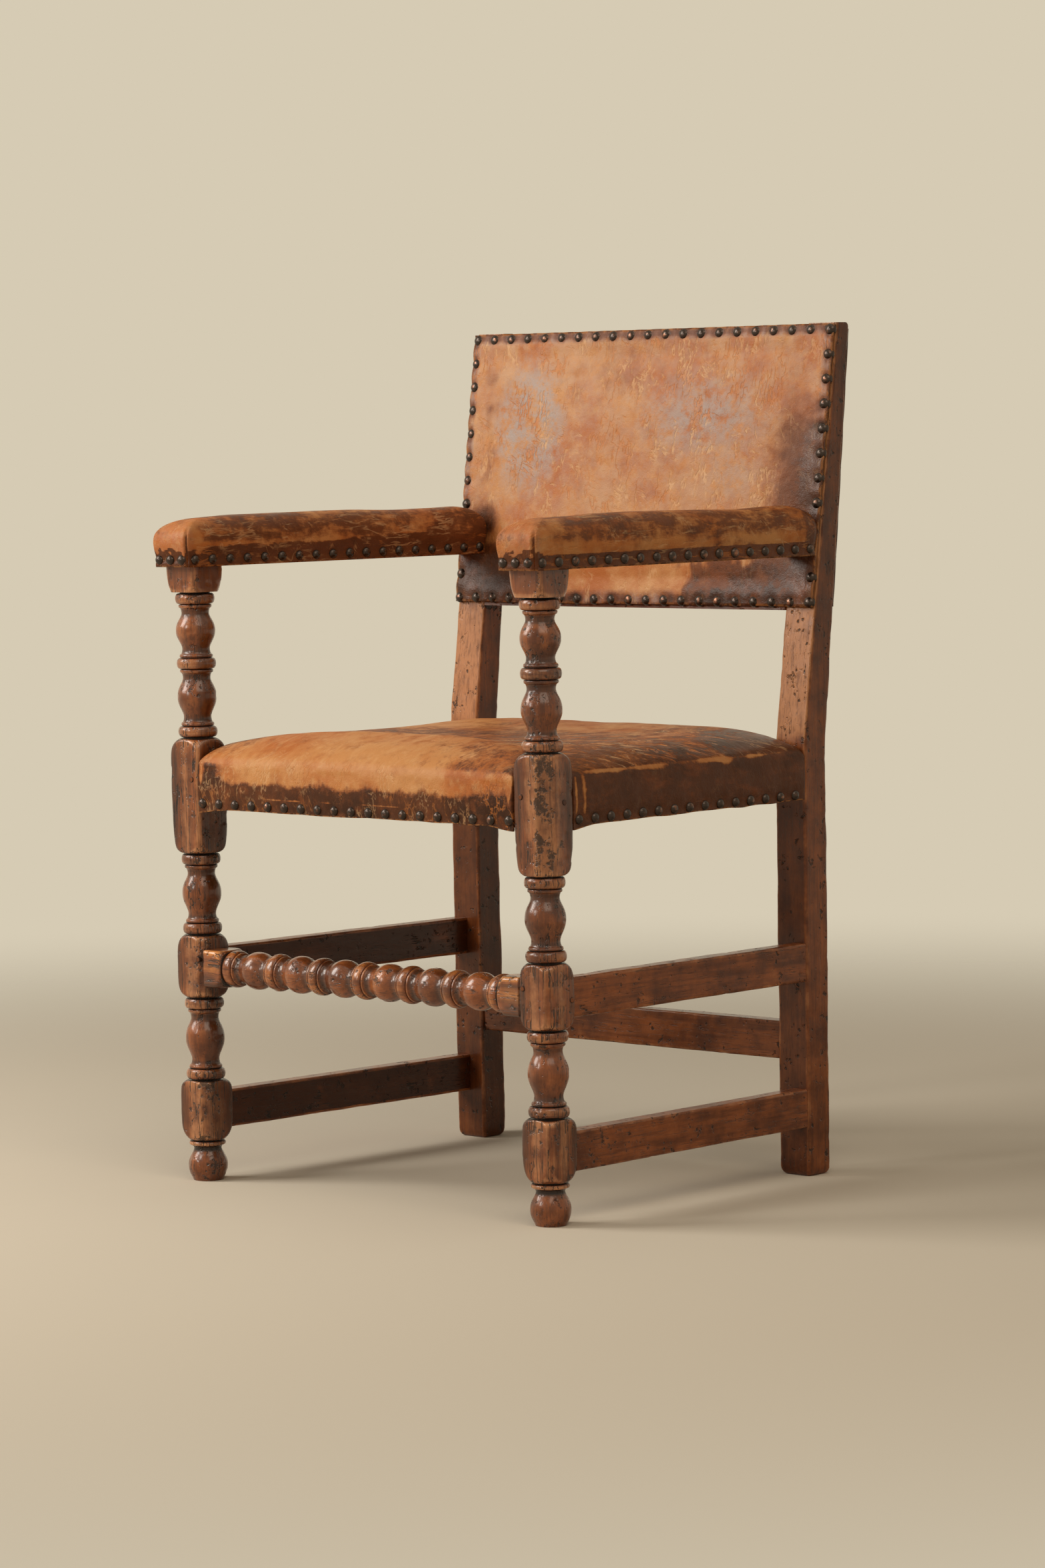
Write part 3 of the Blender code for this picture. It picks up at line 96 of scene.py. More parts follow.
# Side stretchers, and the gap where any stretcher meets a leg
STRETCHER_WIDTH = 0.020
STRETCHER_SETBACK = 0.004
JOINT_GAP = 0.0003

# Rear legs
POST_WIDTH = 0.041
POST_DEPTH = 0.0356
POST_TOP_DEPTH = 0.0195
REAR_HALF_WIDTH = 0.2586
POST_SPLAY = 0.004
KINK_HEIGHT = 0.459
KINK_LENGTH = 0.050
LEAN = 0.0616
POST_TOP_ROUNDING = 0.005
FOOT_ROUNDING = 0.009

# Seat
SEAT_EDGE = 0.452
SEAT_CROWN = 0.030
SEAT_DISH = 0.010
SEAT_CROWN_POWER = 6.5
SEAT_SKIRT = 0.052
SEAT_ROUNDING = 0.007
SEAT_REAR = DEPTH + 0.0303
NOTCH_GAP = 0.0006
LEATHER = 0.002

# Back
BACK_TOP = 0.899
BACK_FOOT = 0.602
BACK_MARGIN = 0.0008
BACK_CROWN = 0.007
BACK_COVER = 0.0032
BACK_RAIL = 0.042
OUTSIDE_TOP = 0.893
OUTSIDE_FOOT = 0.601
OUTSIDE_MARGIN = 0.002
LINING = 0.0023

# Arms
ARM_UNDERSIDE = 0.656
ARM_FRONT = 0.034
ARM_FRONT_WIDTH = 0.052
ARM_REAR_WIDTH = 0.0415
ARM_PAD_HEIGHT = 0.0535
ARM_SIDE_HEIGHT = 0.027
ARM_BULGE = 0.0025
ARM_CORNER = 0.0065
SEAM_WIDTH = 0.0009
SEAM_LAP = 0.0030
SEAM_LAP_REACH = 0.0022

# Nails
NAIL_RADIUS = 0.0054
NAIL_DOME = 0.0044
NAIL_PITCH = 0.0253
OUTSIDE_PITCH = 0.050
ARM_FRONT_PITCH = 0.017
SEAT_NAIL_RISE = 0.006
ARM_NAIL_RISE = 0.0073
ARM_NAIL_INSET = 0.0115
BACK_NAIL_INSET = 0.0052
BACK_NAIL_RISE = 0.0048
BACK_NAIL_DROP = 0.0064
OUTSIDE_NAIL_INSET = 0.006
BACK_NAIL_SIZE = 1.16
NAIL_SINK = 0.0009
NAIL_SEGMENTS = 18
PUCKER = 0.0085


def srgb(red, green, blue):
    """Linear colour from the 0 to 255 values that a screen shows."""
    def linear(value):
        value /= 255
        return value / 12.92 if value <= 0.04045 else ((value + 0.055) / 1.055) ** 2.4
    return linear(red), linear(green), linear(blue), 1.0


def mix(start, end, share):
    return start + (end - start) * share


def smooth(low, high, value):
    """Smooth step from 0 at low to 1 at high."""
    share = np.clip((value - low) / (high - low), 0.0, 1.0)
    return share * share * (3 - 2 * share)


def bump_at(distance, width):
    """Bell curve, 1 at no distance."""
    return np.exp(-(distance / width) ** 2)


def patch(x, y, centre, reach):
    """Bell-shaped patch with its own reach along each direction."""
    return bump_at(np.hypot((x - centre[0]) / reach[0], (y - centre[1]) / reach[1]), 1.0)


def lattice(x, y, z, seed):
    """Repeatable number from 0 to 1 at each whole-numbered place."""
    mixed = (x * 374761393 + y * 668265263 + z * 1440670441 + seed * 1274126177) & 0xFFFFFFFF
    mixed = ((mixed ^ (mixed >> 13)) * 1274126177) & 0xFFFFFFFF
    return (mixed ^ (mixed >> 16)) / 0xFFFFFFFF


def noise(points, size, seed=0):
    """Smooth noise from -1 to 1 whose blobs are about the given size."""
    cells = np.asarray(points, float) / size
    base = np.floor(cells).astype(np.int64)
    share = cells - base
    share = share * share * (3 - 2 * share)
    total = 0.0
    for corner in range(8):
        step = np.array([corner & 1, corner >> 1 & 1, corner >> 2 & 1])
        weight = np.prod(np.where(step, share, 1 - share), axis=-1)
        x, y, z = np.moveaxis(base + step, -1, 0)
        total = total + weight * lattice(x, y, z, seed)
    return 2 * total - 1


# Frame shapes shared by several pieces

def local_box(node):
    """Corners of a node's box, with Y measured from the front legs."""
    return [np.array(corner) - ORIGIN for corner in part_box(node)]


def front_of_post(z):
    """Y of the posts' front faces: plumb to the kink, then leaning back."""
    z = np.asarray(z, float)
    slope = LEAN / (HEIGHT - KINK_HEIGHT)
    above = z - KINK_HEIGHT
    half = KINK_LENGTH / 2
    bend = slope * (np.clip(above, -half, half) + half) ** 2 / (2 * KINK_LENGTH)
    return DEPTH + bend + slope * np.maximum(above - half, 0.0)


def rear_of_post(z):
    above = np.maximum(0.0, np.asarray(z, float) - KINK_HEIGHT) / (HEIGHT - KINK_HEIGHT)
    return front_of_post(z) + mix(POST_DEPTH, POST_TOP_DEPTH, above)


def outside_of_post(z):
    return REAR_HALF_WIDTH + POST_SPLAY * np.asarray(z, float) / HEIGHT


def seat_half_width(y):
    front = LEG_AXIS_X + SEAT_BLOCK / 2
    rear = outside_of_post(SEAT_EDGE - SEAT_SKIRT / 2)
    return mix(front, rear, (y + SEAT_BLOCK / 2) / (DEPTH + SEAT_BLOCK / 2))


# Meshes

def make_object(name, points, faces, material, attributes=None):
    """A mesh object in the frame from local points, with its faces turned outwards."""
    mesh = bpy.data.meshes.new(name)
    mesh.from_pydata((np.asarray(points) + ORIGIN).tolist(), [], faces)
    for key, values in (attributes or {}).items():
        layer = mesh.attributes.new(key, "FLOAT", "POINT")
        layer.data.foreach_set("value", np.asarray(values, np.float32).ravel())
    edit = bmesh.new()
    edit.from_mesh(mesh)
    bmesh.ops.recalc_face_normals(edit, faces=edit.faces)
    edit.to_mesh(mesh)
    edit.free()
    mesh.shade_smooth()
    mesh.materials.append(material)
    item = bpy.data.objects.new(name, mesh)
    bpy.context.scene.collection.objects.link(item)
    return item


def grid_faces(rows, columns, wrap, start=0):
    """Quads between the rows of a grid of points, closed round when wrapped."""
    faces = []
    for row in range(rows - 1):
        for column in range(columns if wrap else columns - 1):
            after = (column + 1) % columns
            faces.append((start + row * columns + column, start + row * columns + after,
                          start + (row + 1) * columns + after, start + (row + 1) * columns + column))
    return faces


def capped_faces(rows, columns):
    """Quads of a tube made of rings, and the faces that close its ends."""
    last = (rows - 1) * columns
    return grid_faces(rows, columns, True) + [tuple(range(columns)), tuple(range(last, last + columns))]


def flat_place(x, z):
    """Points in a plane, for noise over a panel."""
    return np.stack([x, z, 0 * x], -1)


def mirrored(points, side):
    return points * np.array([-1.0, 1.0, 1.0]) if side == "left" else points


def finish_piece(item, slot, *nodes):
    """Rides the piece on the chair, in place of its nodes."""
    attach(item, "root")
    if nodes:
        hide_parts(*nodes)
    return item


# Materials

class Graph:
    """One material, and short ways to build its nodes."""

    def __init__(self, name):
        self.material = bpy.data.materials.new(name)
        self.material.use_nodes = True
        self.tree = self.material.node_tree
        self.shader = self.tree.nodes["Principled BSDF"]
        self.coords = self.node("ShaderNodeTexCoord").outputs["Object"]

    def node(self, kind, settings=None, **inputs):
        made = self.tree.nodes.new(kind)
        for key, value in (settings or {}).items():
            setattr(made, key, value)
        for key, value in inputs.items():
            self.feed(made.inputs[key.replace("_", " ")], value)
        return made

    def feed(self, socket, value):
        if isinstance(value, bpy.types.NodeSocket):
            self.tree.links.new(value, socket)
        else:
            socket.default_value = value

    def shade(self, **inputs):
        """Sets or links the shader's own inputs."""
        for key, value in inputs.items():
            self.feed(self.shader.inputs[key.replace("_", " ")], value)

    def attributes(self, *names):
        return [self.node("ShaderNodeAttribute", {"attribute_name": name}).outputs["Fac"]
                for name in names]

    def scaled(self, scale, vector=None):
        made = self.node("ShaderNodeMapping", Vector=vector or self.coords, Scale=scale)
        return made.outputs["Vector"]

    def noise(self, scale, detail=4.0, roughness=0.55, vector=None):
        return self.node("ShaderNodeTexNoise", Vector=vector or self.coords, Scale=scale,
                         Detail=detail, Roughness=roughness).outputs["Fac"]

    def cells(self, feature, scale, vector):
        return self.node("ShaderNodeTexVoronoi", {"feature": feature}, Vector=vector,
                         Scale=scale).outputs["Distance"]

    def warped(self, amount, scale):
        """Coordinates pushed about by noise, for lines that wander."""
        wander = self.node("ShaderNodeTexNoise", Vector=self.coords, Scale=scale, Detail=3.0)
        pushed = self.node("ShaderNodeVectorMath", {"operation": "MULTIPLY_ADD"})
        self.feed(pushed.inputs[0], wander.outputs["Color"])
        self.feed(pushed.inputs[1], (amount, amount, amount))
        self.feed(pushed.inputs[2], self.coords)
        return pushed.outputs[0]

    def math(self, operation, first, second=0.0):
        made = self.node("ShaderNodeMath", {"operation": operation})
        self.feed(made.inputs[0], first)
        self.feed(made.inputs[1], second)
        return made.outputs[0]

    def plus(self, first, *others):
        for value in others:
            first = self.math("ADD", first, value)
        return first

    def times(self, first, second):
        return self.math("MULTIPLY", first, second)

    def off_middle(self, value):
        """How far a noise is from its mean, for thin lines along its contour."""
        return self.math("ABSOLUTE", self.math("SUBTRACT", value, 0.5))

    def weighed(self, *parts):
        """Sum of noises, each taken about its mean and times its weight."""
        return self.plus(*(self.times(self.math("SUBTRACT", value, 0.5), weight)
                           for value, weight in parts))

    def step(self, value, low, high, start=0.0, end=1.0):
        made = self.node("ShaderNodeMapRange", {"interpolation_type": "SMOOTHSTEP"}, Value=value,
                         From_Min=low, From_Max=high, To_Min=start, To_Max=end)
        return made.outputs["Result"]

    def blend(self, share, first, second, mode="MIX"):
        made = self.node("ShaderNodeMix", {"data_type": "RGBA", "blend_type": mode})
        self.feed(made.inputs[0], share)
        self.feed(made.inputs[6], first)
        self.feed(made.inputs[7], second)
        return made.outputs[2]

    def bump(self, height, distance, normal=None, strength=1.0):
        made = self.node("ShaderNodeBump", Height=height, Distance=distance, Strength=strength)
        if normal:
            self.feed(made.inputs["Normal"], normal)
        return made.outputs["Normal"]


OAK_BLACK = srgb(26, 14, 8)
# Colour of the painted shade
OAK_SHADE_COLOUR = srgb(64, 29, 12)
OAK_DARK = srgb(88, 43, 20)
OAK_MIDDLE = srgb(164, 91, 44)
OAK_LIGHT = srgb(212, 148, 100)
OAK_GOLD = srgb(222, 146, 76)
OAK_COAT_ROUGHNESS = 0.17
GRAIN_STRETCH = 0.07
STREAK_STRETCH = 0.042


def oak_marks(graph, along, cracks, worn, ends, battered):
    """Splits along the grain, pits and dark stains, as one share from 0 to 1."""
    plus, times, step, noise_of = graph.plus, graph.times, graph.step, graph.noise
    split_space = along(STREAK_STRETCH, graph.warped(0.003, 70.0))
    split = step(graph.off_middle(noise_of(170.0, 2.0, 0.5, split_space)), 0.026, 0.008)
    split_zone = plus(noise_of(40.0, 3.0, 0.55), times(ends, 0.16), times(worn, 0.025))
    split = times(split, step(split_zone, 0.64 - 0.1 * cracks, 0.70 - 0.1 * cracks))
    pit_zone = plus(noise_of(44.0, 4.0, 0.6), times(battered, 0.10))
    pits = step(graph.cells("F1", 150.0, graph.warped(0.006, 200.0)), 0.36, 0.16)
    pits = times(pits, step(pit_zone, 0.55, 0.61))
    stain_zone = plus(noise_of(58.0, 5.0, 0.7), times(battered, 0.13))
    stain = times(step(stain_zone, 0.61, 0.68), 0.95)
    return graph.math("MAXIMUM", split, graph.math("MAXIMUM", pits, stain))


def oak(name, axis, brightness=1.0, cracks=0.5, polish=0.24, light=OAK_LIGHT):
    """Stained, waxed oak with its grain along one axis.

    The attribute worn lightens proud places and worn arrises, and on some faces it also carries a
    painted sheen; groove darkens recesses with grime and painted shade, and the blocks' faces turned
    from their worn arris. ends opens cracks, battered pits the face and the painted-shade attribute
    darkens faces with painted shade. They are zero on a mesh that lacks them.
    """
    graph = Graph(name)
    plus, times, step, blend, noise_of = graph.plus, graph.times, graph.step, graph.blend, graph.noise
    worn, groove, ends, battered, painted_shade = graph.attributes(
        "worn", "groove", "ends", "battered", "painted_shade")

    def along(stretch, vector=None):
        """Coordinates drawn out along the grain."""
        return graph.scaled([stretch if index == axis else 1.0 for index in range(3)], vector)

    fine = noise_of(820.0, 3.0, 0.6, along(GRAIN_STRETCH))
    broad = noise_of(120.0, 4.0, 0.6, along(GRAIN_STRETCH))
    mottle = noise_of(36.0, 6.0, 0.64)
    cloud = noise_of(12.0, 3.0, 0.5)

    tone = graph.weighed((mottle, 1.3), (broad, 1.0), (cloud, 0.9))
    colour = blend(step(tone, -0.42, 0.42), OAK_DARK, OAK_MIDDLE)
    shine = plus(worn, graph.weighed((mottle, 1.6), (fine, 0.5)), times(battered, 0.55))
    colour = blend(step(shine, 0.15, 1.00, 0.0, 0.85), colour, light)
    streaks = noise_of(300.0, 3.0, 0.65, along(STREAK_STRETCH))
    colour = blend(step(streaks, 0.48, 0.68, 0.0, min(0.6, 0.4 + 0.4 * cracks)), colour, OAK_DARK)
    # Painted shade: darker where faces look under the chair, lie below the seat or face away from the
    # light.
    colour = blend(times(painted_shade, 0.95), colour, OAK_SHADE_COLOUR)
    pores = times(step(fine, 0.56, 0.66), step(broad, 0.40, 0.56))
    colour = blend(times(pores, min(0.7, 0.42 + 0.5 * cracks)), colour, OAK_BLACK)

    marks = oak_marks(graph, along, cracks, worn, ends, battered)
    colour = blend(times(marks, 0.88), colour, OAK_BLACK)
    # The groove attribute darkens recesses with grime and painted shade, and the blocks' faces turned
    # from their worn arris.
    grime_and_shade = step(plus(groove, graph.weighed((mottle, 0.7), (fine, 0.3))), 0.08, 0.75, 0.0, 0.95)
    colour = blend(grime_and_shade, colour, OAK_BLACK)
    if brightness != 1.0:
        colour = blend(1.0, colour, (brightness, brightness, brightness, 1.0), "MULTIPLY")

    dullness = plus(times(mottle, 0.20), times(marks, 0.25), times(grime_and_shade, 0.45), 0.20)
    relief = plus(marks, times(pores, 0.12))
    normal = graph.bump(times(relief, -1.0), 0.0008)
    normal = graph.bump(noise_of(95.0, 2.0, 0.5, along(0.3)), 0.0007, normal, 0.35)
    graph.shade(Base_Color=colour, Roughness=dullness, Specular_IOR_Level=0.22, Coat_Weight=polish,
                Coat_Roughness=OAK_COAT_ROUGHNESS, Normal=normal, Coat_Normal=normal)
    return graph.material


HIDE_TAN = srgb(204, 142, 86)
HIDE_SAND = srgb(214, 158, 104)
HIDE_ORANGE = srgb(186, 108, 52)
HIDE_RED = srgb(136, 76, 42)
HIDE_DARK = srgb(92, 54, 34)
HIDE_BLACK = srgb(58, 35, 23)
HIDE_RAW = srgb(214, 144, 84)
HIDE_SCORE = srgb(206, 124, 60)
HIDE_PALE = srgb(230, 182, 132)
# Grey-lilac colour of the painted sheen.
HIDE_SHEEN = srgb(178, 161, 153)


def scratched(graph, fibre, turn, patches, share):
    """Thin lines that wander along the turned fibre and come and go by patches."""
    turned = graph.node("ShaderNodeMapping", Vector=graph.warped(0.030, 7.0), Rotation=turn)
    lines = graph.noise(1.0, 3.0, 0.6, graph.scaled(fibre, turned.outputs["Vector"]))
    zone = graph.step(graph.noise(patches, 4.0, 0.6), share, share + 0.14)
    return graph.times(graph.step(graph.off_middle(lines), 0.040, 0.008), zone)


def hide_lines(graph, fibre, fibre_turn, scuff, crackle):
    """Scratches where the hide is scuffed, and veins here and there, as one share from 0 to 1."""
    scratches = graph.math("MAXIMUM", scratched(graph, fibre, (0.0, 0.0, fibre_turn), 30.0, 0.44),
                           scratched(graph, fibre, (0.3, 1.05, -0.6), 48.0, 0.53))
    veins = graph.cells("DISTANCE_TO_EDGE", 26.0, graph.warped(0.04, 11.0))
    veins = graph.times(graph.step(veins, 0.018, 0.004),
                        graph.step(graph.noise(21.0, 3.0), 0.60, 0.66))
    return graph.math("MAXIMUM", graph.times(scratches, scuff), graph.times(veins, crackle))


def hide(name, brush, fibre, fibre_turn=0.0, drips=0.1, crackle=0.0, breakup=0.65, streak=0.5,
         mottling=0.4, gloss=0.15, warmth=0.0):
    """Old leather: tan where it is rubbed, dark brown where its attribute patina says so.

    The painted-sheen attribute adds a painted grey sheen, raw shows the cut edge and scuff brings out
    long scratches. Brush and fibre are the fineness of the mottling and of those scratches by axis,
    drips the share of upright streaks, crackle that of veins, breakup and streak how far blobs and
    brush strokes tear the patina, mottling how red the tan is and warmth how red the dark is.
    """
    graph = Graph(name)
    plus, times, step, blend, noise_of = graph.plus, graph.times, graph.step, graph.blend, graph.noise
    patina, painted_sheen, raw, scuff = graph.attributes("patina", "painted_sheen", "raw", "scuff")
    cloud = noise_of(11.0, 4.0, 0.6)
    mottle = noise_of(44.0, 7.0, 0.66)
    speck = noise_of(230.0, 5.0, 0.7)
    strokes = noise_of(1.0, 5.0, 0.68, graph.scaled(brush, graph.warped(0.02, 16.0)))
    runs = noise_of(1.0, 4.0, 0.65, graph.scaled((190.0, 190.0, 34.0)))

    tan = blend(step(cloud, 0.36, 0.64), HIDE_TAN, HIDE_ORANGE)
    tan = blend(step(strokes, 0.44, 0.72, 0.0, 0.75), tan, HIDE_SAND)
    tan = blend(step(mottle, 0.47, 0.74, 0.0, mottling), tan, HIDE_RED)
    # Painted sheen: grey where the leather would mirror the light.
    tan = blend(times(painted_sheen, step(noise_of(64.0, 8.0, 0.78), 0.34, 0.60)), tan, HIDE_SHEEN)

    ragged = plus(graph.weighed((mottle, 1.2 * breakup), (runs, drips), (speck, 0.4 * breakup),
                                (strokes, streak)), patina)
    colour = blend(step(ragged, 0.16, 0.50, 0.0, 0.85), tan, HIDE_RED)
    colour = blend(step(ragged, 0.36, 0.52, 0.0, 0.6), colour, HIDE_DARK)
    covered = step(ragged, 0.50, 0.58)
    dark = blend(step(cloud, 0.38, 0.66), HIDE_DARK, HIDE_BLACK)
    dark = blend(step(strokes, 0.46, 0.72, warmth, 0.65), dark, HIDE_RED)
    colour = blend(times(covered, 0.94), colour, dark)

    lines = hide_lines(graph, fibre, fibre_turn, scuff, crackle)
    score = blend(step(noise_of(17.0, 2.0), 0.44, 0.56), HIDE_SCORE, HIDE_PALE)
    colour = blend(times(lines, 0.75), colour, score)
    colour = blend(raw, colour, blend(step(noise_of(120.0, 4.0), 0.46, 0.56), HIDE_RAW, HIDE_DARK))

    dullness = graph.math("SUBTRACT", plus(times(mottle, 0.30), 0.34), times(covered, 0.17))
    normal = graph.bump(graph.cells("SMOOTH_F1", 900.0, graph.coords), 0.0003, None, 0.5)
    normal = graph.bump(times(lines, -1.0), 0.0005, normal)
    normal = graph.bump(noise_of(70.0, 5.0, 0.6), 0.0022, normal, 0.5)
    graph.shade(Base_Color=colour, Roughness=dullness, Specular_IOR_Level=gloss, Normal=normal)
    return graph.material


def bronze():
    """Dark nail heads, with copper where the attribute crown and a noise say they are rubbed."""
    graph = Graph("nail_bronze")
    crown, = graph.attributes("crown")
    rub = graph.plus(crown, graph.weighed((graph.noise(110.0, 3.0, 0.6), 2.6)))
    copper = graph.step(rub, 0.95, 1.6, 0.0, 0.75)
    graph.shade(Base_Color=graph.blend(copper, srgb(60, 49, 43), srgb(166, 110, 82)),
                Metallic=0.8, Coat_Weight=0.2, Coat_Roughness=0.15,
                Roughness=graph.step(graph.noise(500.0, 3.0), 0.3, 0.8, 0.24, 0.42),
                Normal=graph.bump(graph.noise(300.0, 2.0), 0.0002, None, 0.35))
    return graph.material


def cloth(name, colour, dark, threads):
    """Plain weave whose threads are the given number to the metre."""
    graph = Graph(name)
    crossing = [graph.node("ShaderNodeTexWave", {"bands_direction": direction}, Vector=graph.coords,
                           Scale=threads / math.tau, Distortion=0.6, Detail=1.0).outputs["Fac"]
                for direction in ("X", "Y")]
    weave = graph.math("MAXIMUM", *crossing)
    shade = graph.plus(graph.times(weave, 0.5), graph.times(graph.noise(22.0, 5.0), 0.6))
    graph.shade(Base_Color=graph.blend(graph.step(shade, 0.3, 0.9), dark, colour), Roughness=0.9,
                Normal=graph.bump(weave, 0.0004))
    return graph.material


OAK_UPRIGHT = oak("oak_upright", axis=2, cracks=0.9, polish=0.72)
OAK_ACROSS = oak("oak_across", axis=0, brightness=1.14, polish=0.9, light=OAK_GOLD)
OAK_DEEP = oak("oak_deep", axis=1, cracks=0.3)
OAK_POST = oak("oak_post", axis=2, brightness=0.86, cracks=0.1)
OAK_CROSS_RAIL = oak("oak_cross_rail", axis=0, brightness=0.80, cracks=0.2)
OAK_PEG = oak("oak_peg", axis=2, brightness=0.7, cracks=0.2)
SEAT_HIDE = hide("seat_hide", brush=(70.0, 22.0, 60.0), fibre=(130.0, 9.0, 45.0), fibre_turn=0.65,
                 drips=0.5, crackle=0.1, breakup=0.8, streak=0.5, mottling=0.45)
BACK_HIDE = hide("back_hide", brush=(34.0, 34.0, 34.0), fibre=(75.0, 75.0, 20.0), fibre_turn=0.5,
                 drips=0.03, breakup=0.30, streak=0.3, mottling=0.18, gloss=0.23)
ARM_HIDE = hide("arm_hide", brush=(85.0, 16.0, 85.0), fibre=(120.0, 14.0, 90.0), drips=0.1,
                crackle=0.3, breakup=0.65, streak=0.95, mottling=0.4, warmth=0.3)
BRONZE = bronze()
CANVAS = cloth("canvas", srgb(186, 165, 128), srgb(120, 100, 74), 1600.0)
WEBBING = cloth("webbing", srgb(176, 150, 108), srgb(104, 84, 58), 900.0)


# Turned work

def bead_rings(top, height, radius, base=QUIRK_RADIUS):
    """Rounded band, flatter than a half round, as (height, radius) going down."""
    return [(top - height * (1 - math.cos(a)) / 2, mix(base, radius, math.sin(a) ** 0.62))
            for a in np.linspace(0.0, math.pi, 15)]


# Thin lip of a turning, as shares of its height going down and what it stands off its full radius
LIP_PROFILE = ((0.0, -0.0009), (0.12, -0.0002), (0.30, 0.0), (0.62, 0.0), (0.80, -0.0002),
               (1.0, -0.0008))


def lip_rings(start, height, cove, neck):
    """Groove, thin lip and cove that lead from a bead's side down to a neck."""
    groove = 0.12 * height
    rings = [(start, QUIRK_RADIUS - 0.0004), (start - groove, QUIRK_RADIUS - 0.0004)]
    lip = height - groove
    for down, out in LIP_PROFILE:
        rings.append((start - groove - down * lip, LIP_RADIUS + out))
    edge = LIP_RADIUS + LIP_PROFILE[-1][1]
    for a in np.linspace(0.15, math.pi / 2, 7):
        rings.append((start - height - cove * (1 - math.cos(a)), mix(edge, neck, math.sin(a))))
    return rings


def ball_rings(top, length, radius, neck):
    """Ball between two necks, a little fuller above its middle."""
    reach = length / 2
    rings = []
    for share in np.linspace(-1.0, 1.0, 39):
        power = 2.5 if share < 0 else 2.15
        swell = (1 - abs(share) ** power) ** 2
        rings.append((top - reach - reach * share, mix(neck, radius, swell)))
    return rings


def upside_down(rings, top, bottom):
    return [(top + bottom - z, radius) for z, radius in reversed(rings)]


def turned_rings(top, length, balls, sizes, rise=0.0):
    """Beads at both ends and between the balls, as (height, radius) going down."""
    radius, neck, bead_radius, bead, lip = sizes
    fixed = 2 * QUIRK_HEIGHT + (balls + 1) * bead + 2 * balls * lip
    zones = [(length - fixed) / balls] * balls
    zones[0] -= rise
    zones[-1] += rise
    z = top - QUIRK_HEIGHT
    rings = [(top, QUIRK_RADIUS)] + bead_rings(z, bead, bead_radius)
    z -= bead
    for zone in zones:
        side = lip_rings(z, lip, COVE_HEIGHT, neck)
        rings += side
        foot = z - 2 * lip - zone
        rings += ball_rings(z - lip - COVE_HEIGHT, zone - 2 * COVE_HEIGHT, radius, neck)[1:-1]
        rings += upside_down(side, z, foot)
        rings += bead_rings(foot, bead, bead_radius)
        z = foot - bead
    return rings + [(z - QUIRK_HEIGHT, QUIRK_RADIUS)]


def foot_rings():
    top = LOW_BLOCK[0] - QUIRK_HEIGHT
    rings = [(LOW_BLOCK[0], QUIRK_RADIUS)] + bead_rings(top, FOOT_BEAD_HEIGHT, FOOT_BEAD_RADIUS)
    neck_height = top - FOOT_BEAD_HEIGHT - COVE_HEIGHT / 2
    reach = neck_height - FOOT_BALL_CENTRE
    for share in np.linspace(1.0, -0.66, 26):
        power = 2.5 if share > 0 else 2.3
        swell = (1 - abs(share) ** power) ** 2
        rings.append((FOOT_BALL_CENTRE + reach * share, mix(NECK_RADIUS, BALL_RADIUS, swell)))
    rim = rings[-1][1]
    for share in (0.3, 0.75, 1.0):
        rings.append((rings[-1][0] * (1 - share), rim - 0.0012 * share))
    return rings


def pommel(distance, start, full, fast, slow_share, slow=0.024):
    """Radius that a square's corners are turned to, at a distance from its end."""
    fall = mix(np.exp(-distance / fast), np.exp(-distance / slow), slow_share)
    return full - (full - start) * fall


def square_radius(angles, half, turned, worn, edge=0.0006):
    """Radius of a square section with turned corners, and its outer front arris worn to a flat.

    The flat takes worn[0] off the front face and worn[1] off the outer face.
    """
    flats = half / np.maximum(np.abs(np.cos(angles)), np.abs(np.sin(angles)))
    on_front, on_side = worn
    lie = math.atan2(on_front, on_side)
    flat_distance = (half - on_front) * math.cos(lie) + half * math.sin(lie)
    towards = np.cos(angles + lie)
    band = np.where(towards > 0.1, flat_distance / np.maximum(towards, 0.1), 1.0)
    limits = np.stack([flats, np.broadcast_to(turned, flats.shape), band])
    return -edge * np.log(np.sum(np.exp(-(limits - limits.min(0)) / edge), axis=0)) + limits.min(0)


def block_rows(span, width, full, ends, worn, step=0.0022):
    """Heights of a square block and, for each, a function from angles to radii and its wear."""
    foot, top = span
    (top_start, top_fast, top_slow), (foot_start, foot_fast, foot_slow) = ends
    near_ends = np.array([0.0, 0.0004, 0.0011, 0.002, 0.0032, 0.0048, 0.0068])
    end_zone = 0.009
    middle = np.arange(foot + end_zone, top - end_zone, step)[::-1]
    heights = np.concatenate([top - near_ends, middle, foot + near_ends[::-1]])
    rows = []
    for z in heights:
        turned = min(pommel(top - z, top_start, full, top_fast, top_slow),
                     pommel(z - foot, foot_start, full, foot_fast, foot_slow))
        rows.append((z, lambda angles, turned=turned: square_radius(angles, width / 2, turned, worn),
                     worn[0]))
    return rows


def round_rows(rings):
    return [(z, lambda angles, radius=radius: np.full(angles.shape, radius), 0.0) for z, radius in rings]


def relief_of(radii, positions, reach):
    """How far each point stands out from the mean of its neighbours along and round the piece."""
    spacing = 0.0005
    even = np.arange(positions.min(), positions.max(), spacing)
    order = np.argsort(positions, kind="stable")
    wide = int(reach / spacing)
    kernel = np.ones(wide) / wide
    means = np.empty_like(radii)
    for column in range(radii.shape[1]):
        line = np.interp(even, positions[order], radii[order, column])
        padded = np.pad(line, wide, mode="edge")
        means[:, column] = np.interp(positions, even, np.convolve(padded, kernel, "same")[wide:-wide])
    round_mean = sum(np.roll(means, shift, axis=1) for shift in range(-3, 4)) / 7
    return radii - round_mean


def hand_wear(points, radii, seed):
    """Inward wear: an uneven surface and the odd dent, deeper where the piece stands proud."""
    uneven = 0.00022 * noise(points, 0.019, seed) + 0.00009 * noise(points, 0.006, seed + 1)
    dents = 0.00065 * smooth(0.50, 0.80, noise(points, 0.0085, seed + 2))
    return uneven - 0.0002 - dents * smooth(0.0165, 0.020, radii)


